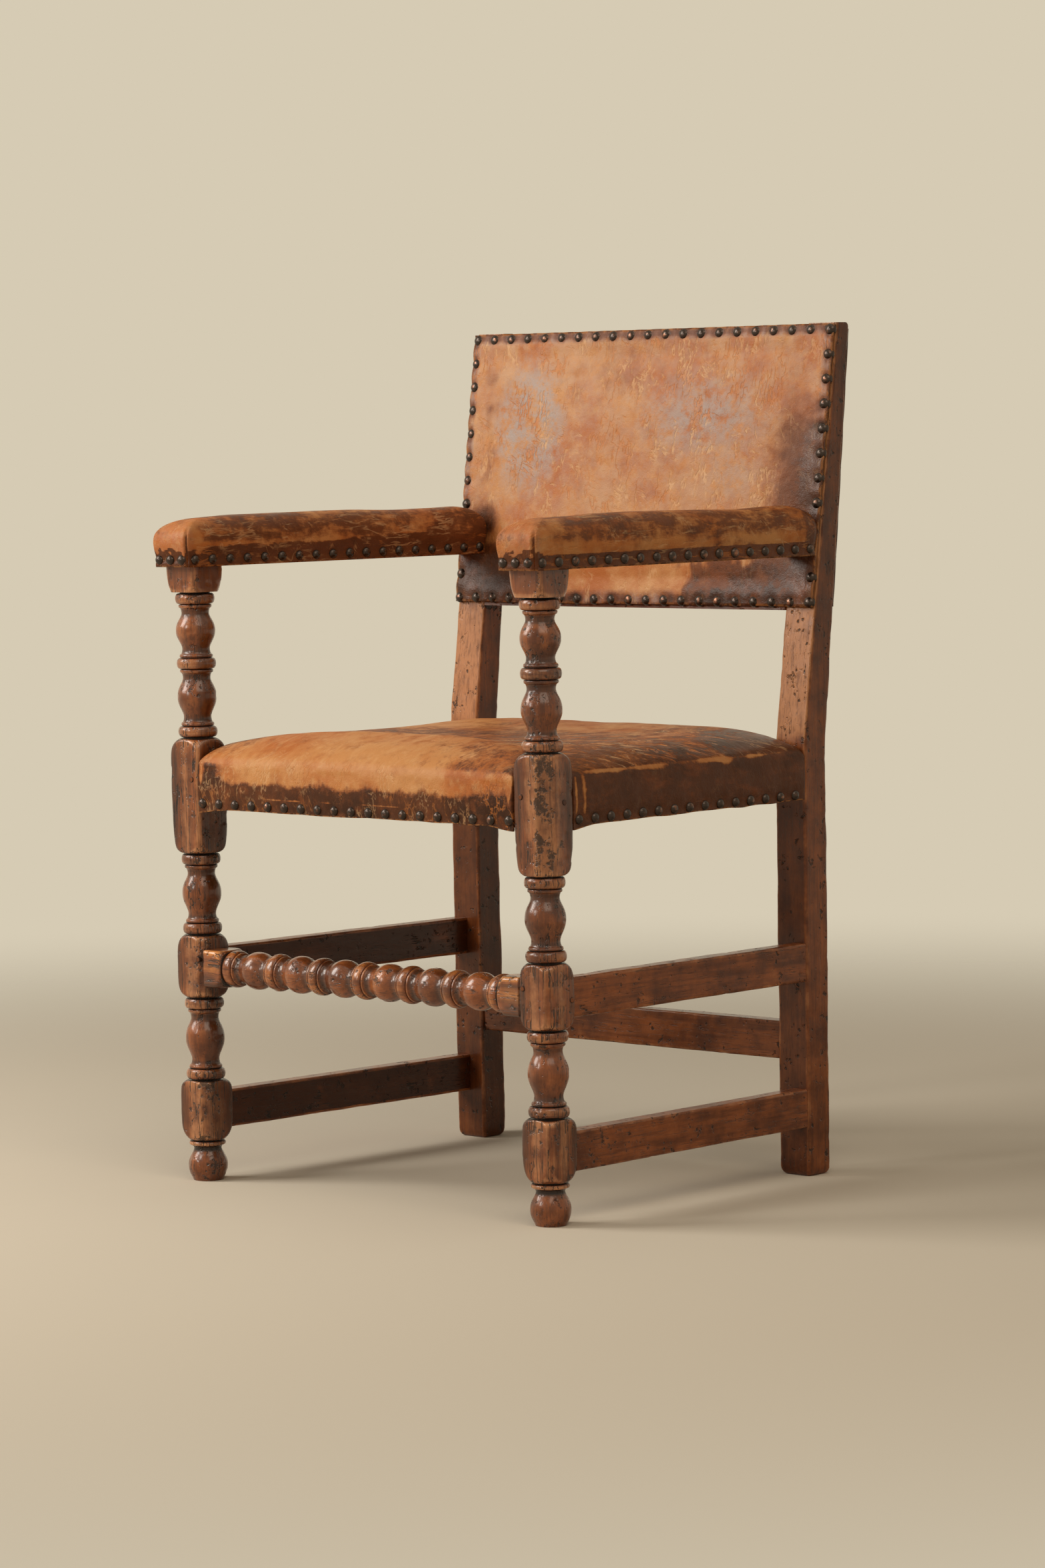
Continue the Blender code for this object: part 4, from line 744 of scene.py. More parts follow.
def turned_piece(name, rows, segments, place, material, seed, block_ends, inner_angle, arris):
    """Mesh of a turned piece: rows of (position, radius function, wear), laid out by place.

    It gets painted shade towards the inner angle, which looks under the chair. Its blocks are rubbed
    at the arris' angle, partly with a painted sheen, and darkened on the faces turned away from it.
    """
    angles = np.linspace(0.0, math.tau, segments, endpoint=False)
    positions = np.array([position for position, _, _ in rows])
    radii = np.array([rule(angles) for _, rule, _ in rows])
    wear = np.array([worn for _, _, worn in rows])
    relief = relief_of(radii, positions, 0.011)
    points = place(positions[:, None], radii, angles[None, :])
    points = place(positions[:, None], radii + hand_wear(points, radii, seed), angles[None, :])
    groove = np.clip(-relief / 0.0014, 0.0, 1.0)
    worn = np.clip(relief / 0.0018, 0.0, 1.0)
    # Painted shade on the side towards the inner angle.
    inward = np.outer(np.ones(len(rows)), smooth(0.70, 0.85, np.cos(angles - inner_angle)))
    ends_near = sum(bump_at(positions - end, 0.015) for end in block_ends)
    off_arris = np.abs((angles - arris + math.pi) % math.tau - math.pi)
    on_block = smooth(0.0005, 0.0015, wear)[:, None]
    # On the blocks the faces beside the worn arris are lightened: partly wear, partly a painted sheen.
    face_wear_and_sheen = 0.56 * bump_at(off_arris - 0.72, 0.36)
    worn = mix(worn, np.maximum(worn * smooth(1.1, 0.6, off_arris), face_wear_and_sheen), on_block)
    # Block faces turned away from the worn arris are darkened.
    away = smooth(1.15, 1.50, off_arris) * mix(0.2, 1.0, smooth(2.15, 1.75, off_arris))
    groove = groove + 0.48 * on_block * away
    battered = np.outer(smooth(0.003, 0.012, wear), smooth(0.62, 0.30, off_arris))
    return make_object(name, points.reshape(-1, 3), capped_faces(len(rows), segments), material,
                       {"groove": groove, "worn": worn, "battered": battered, "painted_shade": 0.62 * inward,
                        "ends": np.tile(ends_near, (segments, 1)).T})


# Squares of a front leg from the top down: the span, the width, the reach of its turned corners, and
# how they are turned at its upper and lower end
SQUARE_REACH = 0.0276
QUICK_END = (0.0192, 0.0048, 0.0)
LEG_SIZES = (BALL_RADIUS, NECK_RADIUS, BEAD_RADIUS, BEAD_HEIGHT, LIP_HEIGHT)
LEG_SQUARES = (
    (ARM_BLOCK, BLOCK + 0.0020, 0.0304, ((0.0304, 0.001, 0.0), (0.0250, 0.0120, 0.0))),
    (SEAT_LEG_BLOCK, SEAT_BLOCK, 0.0297, ((0.0188, 0.0050, 0.0), (0.0210, 0.0028, 0.42))),
    (MIDDLE_BLOCK, BLOCK, SQUARE_REACH, (QUICK_END, QUICK_END)),
    (LOW_BLOCK, BLOCK, SQUARE_REACH, ((0.0205, 0.0030, 0.0), (0.0190, 0.0068, 0.0))),
)

# Balls of the turned run below each square but the last, and how far its middle bead is raised
BALLS_BELOW = ((2, UPPER_BEAD_RISE), (1, 0.0), (1, 0.0))

# Depth of the flat worn on each square's arris, off its front and its side, for the two legs. The
# right leg is worn on its outer front arris and the left leg on its inner one.
LEG_WEAR = {
    "right": ((0.0020, 0.0020), (0.0120, 0.0160), (0.0050, 0.0055), (0.0050, 0.0055)),
    "left": ((0.0034, 0.0034), (0.0026, 0.0026), (0.0085, 0.0080), (0.0088, 0.0085)),
}
UNDER_ARM_WEAR = 0.0008


def leg_rows(side):
    rows = []
    for index, (span, width, reach, ends) in enumerate(LEG_SQUARES):
        under_arm = span == ARM_BLOCK
        square = block_rows(span, width, reach, ends, LEG_WEAR[side][index],
                            0.0015 if under_arm else 0.0022)
        if under_arm:
            square = [(z, rule, UNDER_ARM_WEAR) for z, rule, _ in square]
        rows += square
        if index < len(BALLS_BELOW):
            balls, rise = BALLS_BELOW[index]
            length = span[0] - LEG_SQUARES[index + 1][0][1]
            rows += round_rows(turned_rings(span[0], length, balls, LEG_SIZES, rise))
    return rows + round_rows(foot_rings())


def build_front_leg(side):
    axis_x = LEG_AXIS_X if side == "right" else -LEG_AXIS_X

    def place(z, radius, angle):
        x = axis_x + radius * np.cos(angle)
        return np.stack([x, radius * np.sin(angle), np.broadcast_to(z, x.shape)], axis=-1)

    # The inner angle aims the painted shade at the leg's inner side.
    seed, inner_angle = (11, 0.0) if side == "left" else (47, math.pi)
    leg = turned_piece(f"turned_leg_{side}", leg_rows(side), LEG_SEGMENTS, place, OAK_UPRIGHT, seed,
                       LOW_BLOCK + MIDDLE_BLOCK + SEAT_LEG_BLOCK, inner_angle, -math.pi / 4)
    finish_piece(leg, "oak", f"front_leg_{side}")


def build_bobbin_stretcher():
    sizes = (BOBBIN_RADIUS, BOBBIN_NECK, BOBBIN_RADIUS, BOBBIN_REEL, BOBBIN_LIP_HEIGHT)
    right = BOBBIN_SHIFT + BOBBIN_RUN / 2
    left = BOBBIN_SHIFT - BOBBIN_RUN / 2
    end = LEG_AXIS_X - BLOCK / 2 - JOINT_GAP
    inner = (0.0188, 0.0035, 0.1)
    square_end = (SQUARE_REACH, 0.001, 0.0)
    worn = (0.002, 0.002)
    rows = block_rows((right, end), BOBBIN_BLOCK, SQUARE_REACH, (square_end, inner), worn, 0.0016)
    rows += round_rows(turned_rings(right, BOBBIN_RUN, BOBBIN_BALLS, sizes))
    rows += block_rows((-end, left), BOBBIN_BLOCK, SQUARE_REACH, (inner, square_end), worn, 0.0016)

    def place(x, radius, angle):
        y = radius * np.cos(angle)
        z = BOBBIN_CENTRE + radius * np.sin(angle)
        return np.stack([np.broadcast_to(x, y.shape), y, z], axis=-1)

    # The angle -1.15 aims the painted shade at the stretcher's underside and rear.
    stretcher = turned_piece("turned_stretcher", rows, 72, place, OAK_ACROSS, 83, (left, right),
                             -1.15, 0.75 * math.pi)
    finish_piece(stretcher, "oak", "bobbin_stretcher")


def build_peg(node):
    """Riven peg with an uneven rim, standing just proud of the leg."""
    low, high = local_box(node)
    centre = (low + high) / 2
    reach = (high - low) / 2
    axis = int(np.argmax(reach))
    out = np.sign(centre[0]) if axis == 0 else -1.0
    angles = np.linspace(0.0, math.tau, 20, endpoint=False)
    others = [index for index in range(3) if index != axis]
    rows = []
    for depth, share in ((-1.0, 0.96), (0.94, 0.97), (0.985, 0.93), (1.0, 0.78), (0.985, 0.35)):
        ring = np.tile(centre, (len(angles), 1))
        wobble = 1 + 0.05 * np.cos(3 * angles + centre[2] * 900)
        ring[:, others[0]] += share * reach[others[0]] * wobble * np.cos(angles)
        ring[:, others[1]] += share * reach[others[1]] * wobble * np.sin(angles)
        ring[:, axis] += out * depth * reach[axis]
        rows.append(ring)
    rim = np.repeat([1.0, 1.0, 0.9, 0.25, 0.0], len(angles))
    peg = make_object(f"riven_{node}", np.concatenate(rows), capped_faces(len(rows), len(angles)),
                      OAK_PEG, {"groove": rim})
    finish_piece(peg, "oak", node)


# Sawn work

def shelter(grid, middle):
    """Painted shade on a side bar's faces, by where they look and what the seat covers; and a painted
    sheen.
    """
    offset = (grid - middle) / (np.abs(grid - middle).max(axis=1, keepdims=True) + 1e-6)
    beside = np.abs(middle[..., 0]) > 0.225
    outer = offset[..., 0] * np.sign(middle[..., 0])
    z = grid[..., 2]
    # Painted shade: inner faces below and just above the seat, outer faces above it, fronts under it.
    inward = smooth(0.90, 1.0, -outer) * smooth(SEAT_EDGE + 0.1, SEAT_EDGE, z)
    outward = 0.5 * smooth(0.90, 1.0, outer) * smooth(SEAT_EDGE, SEAT_EDGE + 0.12, z)
    front = smooth(0.90, 1.0, -offset[..., 1])
    under = 0.75 * front * smooth(SEAT_EDGE, SEAT_EDGE - 0.05, z)
    # Painted sheen on the fronts of the side pieces above the seat, added to the wear.
    rubbed = 0.92 * front * smooth(SEAT_EDGE - 0.01, SEAT_EDGE + 0.03, z)
    return beside * np.maximum.reduce([inward, outward, under]), beside * rubbed


def worn_bar(name, stations, material, seed, rounding=0.0022, stain=1.0):
    """Bar lofted through rectangles, each given as its four corners in order.

    The corners are rounded, the arrises are rubbed unevenly and the faces are not quite flat.
    """
    corners = np.asarray(stations)
    sides = []
    turn = np.linspace(0.0, math.pi / 2, 4)
    for corner in range(4):
        here = corners[:, corner]
        to_next = corners[:, (corner + 1) % 4] - here
        to_last = corners[:, (corner - 1) % 4] - here
        next_length = np.linalg.norm(to_next, axis=1, keepdims=True)
        to_next = to_next / next_length
        to_last = to_last / np.linalg.norm(to_last, axis=1, keepdims=True)
        uneven = 0.55 * noise(here, 0.035, seed + corner) + 0.3 * noise(here, 0.011, seed + corner)
        rub = rounding * (1 + uneven)[:, None]
        for a in turn:
            sides.append((here + rub * ((1 - math.sin(a)) * to_last + (1 - math.cos(a)) * to_next), 1.0))
        length = float(next_length.mean())
        steps = max(2, int(length / 0.006))
        close = (rounding + 0.0012) / length
        for share in [close] + [step / steps for step in range(1, steps)] + [1 - close]:
            sides.append((here + to_next * next_length * share, 0.0))
    grid = np.stack([line for line, _ in sides], axis=1)
    worn = np.tile([edge for _, edge in sides], (len(corners), 1))
    middle = corners.mean(axis=1)[:, None, :]
    inwards = middle - grid
    inwards /= np.linalg.norm(inwards, axis=2, keepdims=True)
    dip = 0.00022 * (1 + noise(grid, 0.028, seed + 7))
    dip = dip + 0.0004 * smooth(0.55, 0.8, noise(grid, 0.010, seed + 8))
    grid = grid + inwards * dip[..., None]
    # Painted shade, scaled by stain, and a painted sheen that is added to the wear.
    painted_shade, rubbed = shelter(grid, middle)
    bar = make_object(name, grid.reshape(-1, 3), capped_faces(*grid.shape[:2]), material,
                      {"worn": 0.35 * worn + rubbed, "painted_shade": stain * painted_shade * (1 - worn)})
    bar.data.set_sharp_from_angle(angle=math.radians(50))
    return bar


def box_stations(low, high, axis, spacing=0.006):
    """Rectangles across a straight bar between two corners."""
    others = [index for index in range(3) if index != axis]
    count = max(2, int((high[axis] - low[axis]) / spacing))
    stations = []
    for place in np.linspace(low[axis], high[axis], count):
        corners = []
        for first, second in ((low, low), (high, low), (high, high), (low, high)):
            point = np.zeros(3)
            point[axis] = place
            point[others[0]] = first[others[0]]
            point[others[1]] = second[others[1]]
            corners.append(point)
        stations.append(corners)
    return stations


def build_side_stretcher(level, side):
    """Plain stretcher, splayed to follow the rear legs."""
    node = f"side_stretcher_{level}_{side}"
    low, high = local_box(node)
    outer = LEG_AXIS_X + BLOCK / 2 - STRETCHER_SETBACK
    start = np.array([outer - STRETCHER_WIDTH, BLOCK / 2 + JOINT_GAP, low[2]])
    end = np.array([outer, DEPTH - JOINT_GAP, high[2]])
    stations = np.array(box_stations(start, end, 1))
    rear_outer = outside_of_post((low[2] + high[2]) / 2) - 0.001
    share = (stations[:, :, 1] - start[1]) / (end[1] - start[1])
    stations[:, :, 0] += share * (rear_outer - outer)
    seed = (101 if level == "upper" else 131) + len(side)
    bar = worn_bar(f"sawn_stretcher_{level}_{side}", mirrored(stations, side), OAK_DEEP, seed)
    finish_piece(bar, "oak", node)


def build_back_stretcher():
    low, high = local_box("back_stretcher")
    half = outside_of_post(low[2]) - POST_WIDTH
    stations = box_stations(np.array([-half, low[1], low[2]]), np.array([half, high[1], high[2]]), 0)
    finish_piece(worn_bar("sawn_back_stretcher", stations, OAK_CROSS_RAIL, 171), "oak", "back_stretcher")


def build_post(side):
    """Rear leg: plumb to the seat, then leaning back and tapering, rounded at its top rear."""
    top_turn = np.sin(np.linspace(0.0, math.pi / 2, 6))
    heights = np.concatenate([FOOT_ROUNDING * np.array([0.0, 0.03, 0.1, 0.22, 0.4, 0.65]),
                              np.arange(FOOT_ROUNDING, HEIGHT - POST_TOP_ROUNDING, 0.006),
                              HEIGHT - POST_TOP_ROUNDING * (1 - top_turn)])
    stations = []
    for z in heights:
        front = front_of_post(z)
        rear = rear_of_post(z)
        over = max(0.0, z - (HEIGHT - POST_TOP_ROUNDING))
        rear -= POST_TOP_ROUNDING - math.sqrt(max(0.0, POST_TOP_ROUNDING ** 2 - over ** 2))
        foot = 0.0055 * (1 - math.sqrt(1 - max(0.0, 1 - z / FOOT_ROUNDING) ** 2))
        outer = outside_of_post(z) - foot
        inner = outer - POST_WIDTH + 2 * foot
        front += foot
        rear -= foot
        stations.append([(inner, front, z), (outer, front, z), (outer, rear, z), (inner, rear, z)])
    # The posts take their painted shade at two thirds of its strength.
    post = worn_bar(f"sawn_post_{side}", mirrored(np.array(stations), side), OAK_POST,
                    211 + len(side), rounding=0.0026, stain=0.66)
    finish_piece(post, "oak", f"rear_leg_{side}")


def dress_hidden_frame():
    """Materials for the rails and boards that keep their own solids."""
    for node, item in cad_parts.items():
        if node.startswith(("seat_rail", "back_top", "back_bottom", "arm_board")):
            lengthwise = node.endswith(SIDES)
            item.material_slots[0].material = OAK_DEEP if lengthwise else OAK_CROSS_RAIL


# Nails

def row_points(start, end, pitch=NAIL_PITCH):
    start = np.asarray(start, float)
    end = np.asarray(end, float)
    count = max(1, round(float(np.linalg.norm(end - start)) / pitch))
    return [mix(start, end, step / count) for step in range(count + 1)]


# Rings of a nail head from its buried edge up, as shares of its radius and of its dome's height
NAIL_PROFILE = ((1.0, -0.30), (1.03, 0.02), (0.985, 0.22), (0.90, 0.47), (0.74, 0.70), (0.50, 0.88),
                (0.25, 0.97))


def domed_nails(name, seats, seed, size=1.0):
    """Hand-driven nails: each seat is a point on the leather and the way its nail faces."""
    rng = np.random.default_rng(seed)
    segments = NAIL_SEGMENTS
    turn = np.linspace(0.0, math.tau, segments, endpoint=False)
    points = []
    faces = []
    crown = []
    for seat, outward in seats:
        radius = size * NAIL_RADIUS * rng.uniform(0.95, 1.04)
        dome = size * NAIL_DOME * rng.uniform(0.92, 1.04)
        tilt = Vector(rng.uniform(-0.07, 0.07, 3))
        facing = (Vector(outward).normalized() + tilt).normalized()
        basis = np.array(facing.to_track_quat("Z", "Y").to_matrix())
        start = len(points)
        squash = rng.uniform(0.0, 0.05)
        for share, rise in NAIL_PROFILE:
            wide = radius * share * (1 + squash * np.cos(2 * turn))
            height = np.full(segments, dome * rise)
            local = np.stack([wide * np.cos(turn), wide * np.sin(turn), height], axis=1)
            points.extend(np.asarray(seat) + local @ basis.T)
            crown += [max(0.0, rise)] * segments
        points.append(np.asarray(seat) + basis @ np.array([0.0, 0.0, dome]))
        crown.append(1.0)
        faces += grid_faces(len(NAIL_PROFILE), segments, True, start)
        last = start + (len(NAIL_PROFILE) - 1) * segments
        faces += [(last + i, last + (i + 1) % segments, len(points) - 1) for i in range(segments)]
        faces.append(tuple(range(start + segments - 1, start - 1, -1)))
    nails = make_object(name, np.array(points), faces, BRONZE, {"crown": crown})
    return finish_piece(nails, "leather")


def driven(seats, depth, way=None):
    """The same seats, sunk by a depth the way their nails face, or along another way."""
    return [(np.asarray(seat) - depth * np.asarray(way or facing, float), facing)
            for seat, facing in seats]


def near_nails(points, seats, width):
    """Share from 0 to 1 of how near each point is to a nail."""
    flat = points.reshape(-1, 3)
    best = np.full(len(flat), 1e9)
    for seat, _ in seats:
        best = np.minimum(best, ((flat - np.asarray(seat)) ** 2).sum(axis=1))
    return bump_at(np.sqrt(best), width).reshape(points.shape[:-1])


def add_thickness(item, thickness=LEATHER):
    shell = item.modifiers.new("leather", "SOLIDIFY")
    shell.thickness = thickness
    shell.offset = -1.0


# Seat

def seat_crown(x, y):
    """Height of the seat's top over its plan, before its edge is rounded."""
    u = np.clip(x / seat_half_width(y), -1, 1)
    middle = (SEAT_REAR - SEAT_BLOCK / 2) / 2
    v = np.clip((y - middle) / ((SEAT_REAR + SEAT_BLOCK / 2) / 2), -1, 1)
    crown = SEAT_CROWN * (1 - np.abs(u) ** SEAT_CROWN_POWER) * (1 - np.abs(v) ** SEAT_CROWN_POWER)
    sat_in = smooth(0.055, 0.135, y + 0.10 * u * u) * smooth(SEAT_REAR - 0.03, SEAT_REAR - 0.16, y)
    sat_in = sat_in * (1 - np.abs(u) ** 3)
    crease = bump_at(y - 0.062 + 0.04 * u * u, 0.016) * smooth(0.9, 0.4, np.abs(u))
    return SEAT_EDGE + crown - SEAT_DISH * sat_in + 0.0016 * crease


def lines_between(start, end, spacing, edge=SEAT_ROUNDING):
    """Grid lines that crowd together at both ends."""
    close = edge * np.array([0.0, 0.08, 0.22, 0.42, 0.68, 1.0])
    count = max(2, int((end - start - 2 * edge) / spacing))
    middle = np.linspace(start + edge, end - edge, count + 1)[1:-1]
    return np.concatenate([start + close, middle, end - close[::-1]])


def seat_grid():
    """Plan of the seat as a grid whose lines follow the corners cut for the legs.

    Returns the grid and how many lines lie in each corner, across and along.
    """
    leg_y = SEAT_BLOCK / 2 + NOTCH_GAP
    post_y = DEPTH - NOTCH_GAP
    front_rows = lines_between(-SEAT_BLOCK / 2, leg_y, 0.006)
    middle_rows = lines_between(leg_y, post_y, 0.0045)
    rear_rows = lines_between(post_y, SEAT_REAR, 0.006)
    rows = np.concatenate([front_rows, middle_rows[1:], rear_rows[1:]])
    inner = lines_between(-1.0, 1.0, 0.018, 0.032)
    outer = lines_between(0.0, 1.0, 0.13, 0.16)
    grid = []
    for y in rows:
        share = np.clip((y - leg_y) / (post_y - leg_y), 0, 1)
        by_post = outside_of_post(SEAT_EDGE) - POST_WIDTH
        notch = mix(LEG_AXIS_X - SEAT_BLOCK / 2, by_post, share) - NOTCH_GAP
        half = seat_half_width(y)
        across = np.concatenate([-mix(notch, half, outer[::-1]), notch * inner[1:-1],
                                 mix(notch, half, outer)])
        grid.append(np.stack([across, np.full(across.shape, y)], axis=1))
    return np.array(grid), len(outer) - 1, len(front_rows) - 1, len(rear_rows) - 1


def notched_sheet(rows, columns, corner, front, rear):
    """Number of each grid place outside the corners cut for the legs, and the quads between them."""
    keep = {}
    for row in range(rows):
        for column in range(columns):
            in_corner = column < corner or column > columns - 1 - corner
            if not (in_corner and (row < front or row > rows - 1 - rear)):
                keep[row, column] = len(keep)
    faces = []
    for row in range(rows - 1):
        for column in range(columns - 1):
            quad = [(row, column), (row, column + 1), (row + 1, column + 1), (row + 1, column)]
            edge_strip = column < corner or column >= columns - 1 - corner
            if all(place in keep for place in quad) and not (
                    edge_strip and (row < front or row >= rows - 1 - rear)):
                faces.append(tuple(keep[place] for place in quad))
    return keep, faces


def seat_loop(rows, columns, corner, front, rear):
    """Grid places round the seat's outline, with the side of the seat that each belongs to."""
    last_row = rows - 1
    last_column = columns - 1
    right = last_column - corner
    loop = [(0, c, "front") for c in range(corner, right)]
    loop += [(r, right, "notch") for r in range(0, front)]
    loop += [(front, c, "notch") for c in range(right, last_column)]
    loop += [(r, last_column, "right") for r in range(front, last_row - rear)]
    loop += [(last_row - rear, c, "notch") for c in range(last_column, right, -1)]
    loop += [(r, right, "notch") for r in range(last_row - rear, last_row)]
    loop += [(last_row, c, "rear") for c in range(right, corner, -1)]
    loop += [(r, corner, "notch") for r in range(last_row, last_row - rear, -1)]
    loop += [(last_row - rear, c, "notch") for c in range(corner, 0, -1)]
    loop += [(r, 0, "left") for r in range(last_row - rear, front, -1)]
    loop += [(front, c, "notch") for c in range(0, corner)]
    loop += [(r, corner, "notch") for r in range(front, 0, -1)]
    return loop


OUTWARD = {"front": (0.0, -1.0), "rear": (0.0, 1.0), "right": (1.0, 0.0), "left": (-1.0, 0.0),
           "notch": (0.0, 0.0)}


def seat_nail_seats():
    """Nails along the lower edge of the seat's leather, on its four sides."""
    z = SEAT_EDGE - SEAT_SKIRT + SEAT_NAIL_RISE
    seats = []
    for y, half in ((-SEAT_BLOCK / 2, LEG_AXIS_X - SEAT_BLOCK / 2 - 0.0062),
                    (SEAT_REAR, outside_of_post(z) - POST_WIDTH - 0.0095)):
        way = (0.0, math.copysign(1.0, y), 0.0)
        seats += [(point, way) for point in row_points((-half, y, z), (half, y, z))]
    for sign in (-1, 1):
        ends = [(sign * seat_half_width(y), y, z) for y in (0.030, DEPTH - 0.0166)]
        seats += [(point, (sign, 0.03, 0)) for point in row_points(*ends)]
    return seats


def seat_wear(points):
    """Patina and scuffing of the seat: dark lower down and on the outer sides, rubbed on the edges."""
    x, y, z = points.T
    down = np.clip((SEAT_EDGE - z) / SEAT_SKIRT, 0.0, 1.0)
    on_front = smooth(-SEAT_BLOCK / 2 + 0.004, -SEAT_BLOCK / 2 + 0.001, y)
    on_side = smooth(seat_half_width(y) - 0.005, seat_half_width(y) - 0.002, np.abs(x))
    on_rear = smooth(SEAT_REAR - 0.004, SEAT_REAR - 0.001, y)
    upright = np.maximum.reduce([on_front, on_side, on_rear])
    far_end = smooth(-0.170, -0.215, x)
    near_end = smooth(0.150, 0.205, x)
    front = smooth(0.27, 0.66, down) + 0.75 * far_end * smooth(0.0, 0.1, down)
    front = front + 0.28 * near_end * smooth(0.05, 0.3, down)
    uneven = 0.22 * noise(points, 0.05, 505) + 0.16 * noise(points, 0.009, 519)
    front = front + uneven * smooth(0.9, 0.6, down)
    nail_crease = bump_at(z - (SEAT_EDGE - SEAT_SKIRT + 0.0138), 0.0016) * smooth(0.20, 0.15, np.abs(x))
    front = front - 0.85 * nail_crease * smooth(-0.2, 0.5, noise(points, 0.03, 507))
    side = 1.12 * smooth(-0.10, 0.15, down + 0.10 * noise(points, 0.022, 511))
    patina = front * on_front + side * np.maximum(on_side, on_rear) * (1 - on_front)
    wander = 0.0012 * noise(points, 0.03, 513) + 0.0012 * smooth(0.5, 1.0, down)
    from_leg = y - SEAT_BLOCK / 2 - NOTCH_GAP + wander
    strips = np.maximum(bump_at(from_leg - 0.0045, 0.0028), bump_at(from_leg - 0.0165, 0.0042))
    from_corner = LEG_AXIS_X - SEAT_BLOCK / 2 - np.abs(x) + wander
    strips = np.where(on_front > 0.5, 0.8 * bump_at(from_corner - 0.0050, 0.0024), strips * on_side)
    patina = patina - strips * smooth(0.92, 0.74, down) * smooth(0.0, 0.08, down)

    rim = SEAT_EDGE + 0.002 - z + 0.0022 * noise(points, 0.020, 515)
    rubbed = bump_at(rim, 0.0042) * on_side * smooth(-0.35, 0.45, noise(points, 0.035, 509))
    right_rear = patch(x, y, (0.250, 0.33), (0.095, 0.14))
    near_rim = smooth(0.170, 0.225, x)
    rear_rim = smooth(0.385, 0.415, y)
    far_corner = patch(x, y, (-0.215, 0.03), (0.05, 0.04))
    drift = 0.05 * noise(points, 0.08, 523)
    bowl = 0.46 * smooth(0.045, 0.135, y + drift) * smooth(0.37, 0.20, y + drift)
    near_side = 0.36 * smooth(0.04, 0.15, x)
    top = np.maximum.reduce([0.72 * right_rear, 0.56 * near_rim, 0.55 * far_corner, bowl, near_side])
    # Painted shadow where the leather turns down into the corner by each front leg.
    by_leg = np.hypot(np.maximum(0.0, LEG_AXIS_X - SEAT_BLOCK / 2 - np.abs(x)),
                      np.maximum(0.0, y - SEAT_BLOCK / 2))
    corner_shadow = 0.55 * smooth(0.009, 0.001, by_leg + 0.002 * noise(points, 0.012, 517))
    patina = patina + (top + corner_shadow - 0.20 * rear_rim) * (1 - upright) - 0.85 * rubbed
    scuffed = patch(x, y, (0.17, 0.20), (0.12, 0.17))
    scuff = np.maximum(0.3, 1.8 * scuffed) * (1 - upright) + on_front * (0.42 + 0.2 * near_end) + 0.06
    return patina, scuff


def distance_to_outline(flat, outline):
    """Distance of each plan point to the nearest edge of a closed outline."""
    nearest = np.full(len(flat), 1e9)
    for start, end in zip(outline, np.roll(outline, -1, axis=0)):
        run = end - start
        share = np.clip(((flat - start) @ run) / max(run @ run, 1e-12), 0, 1)
        nearest = np.minimum(nearest, np.linalg.norm(flat - start - share[:, None] * run, axis=1))
    return nearest


def seat_top(flat, outline):
    """Crowned top of the seat over its plan, rounded over at the edge."""
    inside = np.clip(SEAT_ROUNDING - distance_to_outline(flat, outline), 0.0, SEAT_ROUNDING)
    drop = SEAT_ROUNDING - np.sqrt(SEAT_ROUNDING ** 2 - inside ** 2)
    x, y = flat.T
    top = np.stack([x, y, seat_crown(x, y) - drop], axis=1)
    top[:, 2] += 0.0010 * noise(top, 0.055, 301) + 0.00035 * noise(top, 0.016, 302)
    return top


def seat_sides(outline, outward, start_heights, seats):
    """Rings of points down the seat's sides, from its rounded edge to its nailed foot."""
    free = np.linalg.norm(outward, axis=1)
    leg_gap = np.minimum(np.abs(np.abs(outline[:, 0]) - (LEG_AXIS_X - SEAT_BLOCK / 2)), 1.0)
    leg_gap = np.where(outward[:, 1] < 0, leg_gap, np.abs(outline[:, 1] - SEAT_BLOCK / 2))
    sag = 0.0045 * np.exp(-(leg_gap / 0.024) ** 1.5) * (outline[:, 1] < DEPTH / 2)
    ragged = 0.0007 * noise(np.c_[outline, np.zeros(len(outline))], 0.024, 311)
    foot = SEAT_EDGE - SEAT_SKIRT - sag + ragged
    rings = []
    for share in np.linspace(0.0, 1.0, 34)[1:]:
        place = np.c_[outline, mix(start_heights, foot, share)]
        bulge = 0.0016 * np.sin(np.pi * min(1.0, share * 1.05)) ** 1.2 * free
        bulge -= 0.0010 * near_nails(place, seats, PUCKER) * free
        bulge += 0.0004 * noise(place, 0.022, 317) * free
        place[:, :2] += outward * bulge[:, None]
        rings.append(place)
    return rings


def build_seat():
    plan, *corner = seat_grid()
    rows, columns = plan.shape[:2]
    loop = seat_loop(rows, columns, *corner)
    outline = np.array([plan[r, c] for r, c, _ in loop])
    top = seat_top(plan.reshape(-1, 2), outline)
    keep, faces = notched_sheet(rows, columns, *corner)
    top = np.array([top[row * columns + column] for row, column in keep])

    seats = seat_nail_seats()
    edge = [keep[r, c] for r, c, _ in loop]
    outward = np.array([OUTWARD[side] for _, _, side in loop])
    sides = seat_sides(outline, outward, top[edge, 2], seats)
    points = np.concatenate([top, *sides])
    count = len(loop)
    upper = edge
    for start in range(len(top), len(points), count):
        lower = list(range(start, start + count))
        faces += [(upper[i], upper[(i + 1) % count], lower[(i + 1) % count], lower[i])
                  for i in range(count)]
        upper = lower

    patina, scuff = seat_wear(points)
    patina = patina + 0.35 * near_nails(points, seats, 0.007)
    raw = np.zeros(len(points))
    raw[-count:] = 0.9
    leather = make_object("seat_leather_cover", points, faces, SEAT_HIDE,
                          {"patina": patina, "scuff": scuff, "raw": raw})
    add_thickness(leather)
    finish_piece(leather, "leather", "seat_leather", "seat_stuffing")
    domed_nails("seat_nails", driven(seats, NAIL_SINK), 5)


# Back

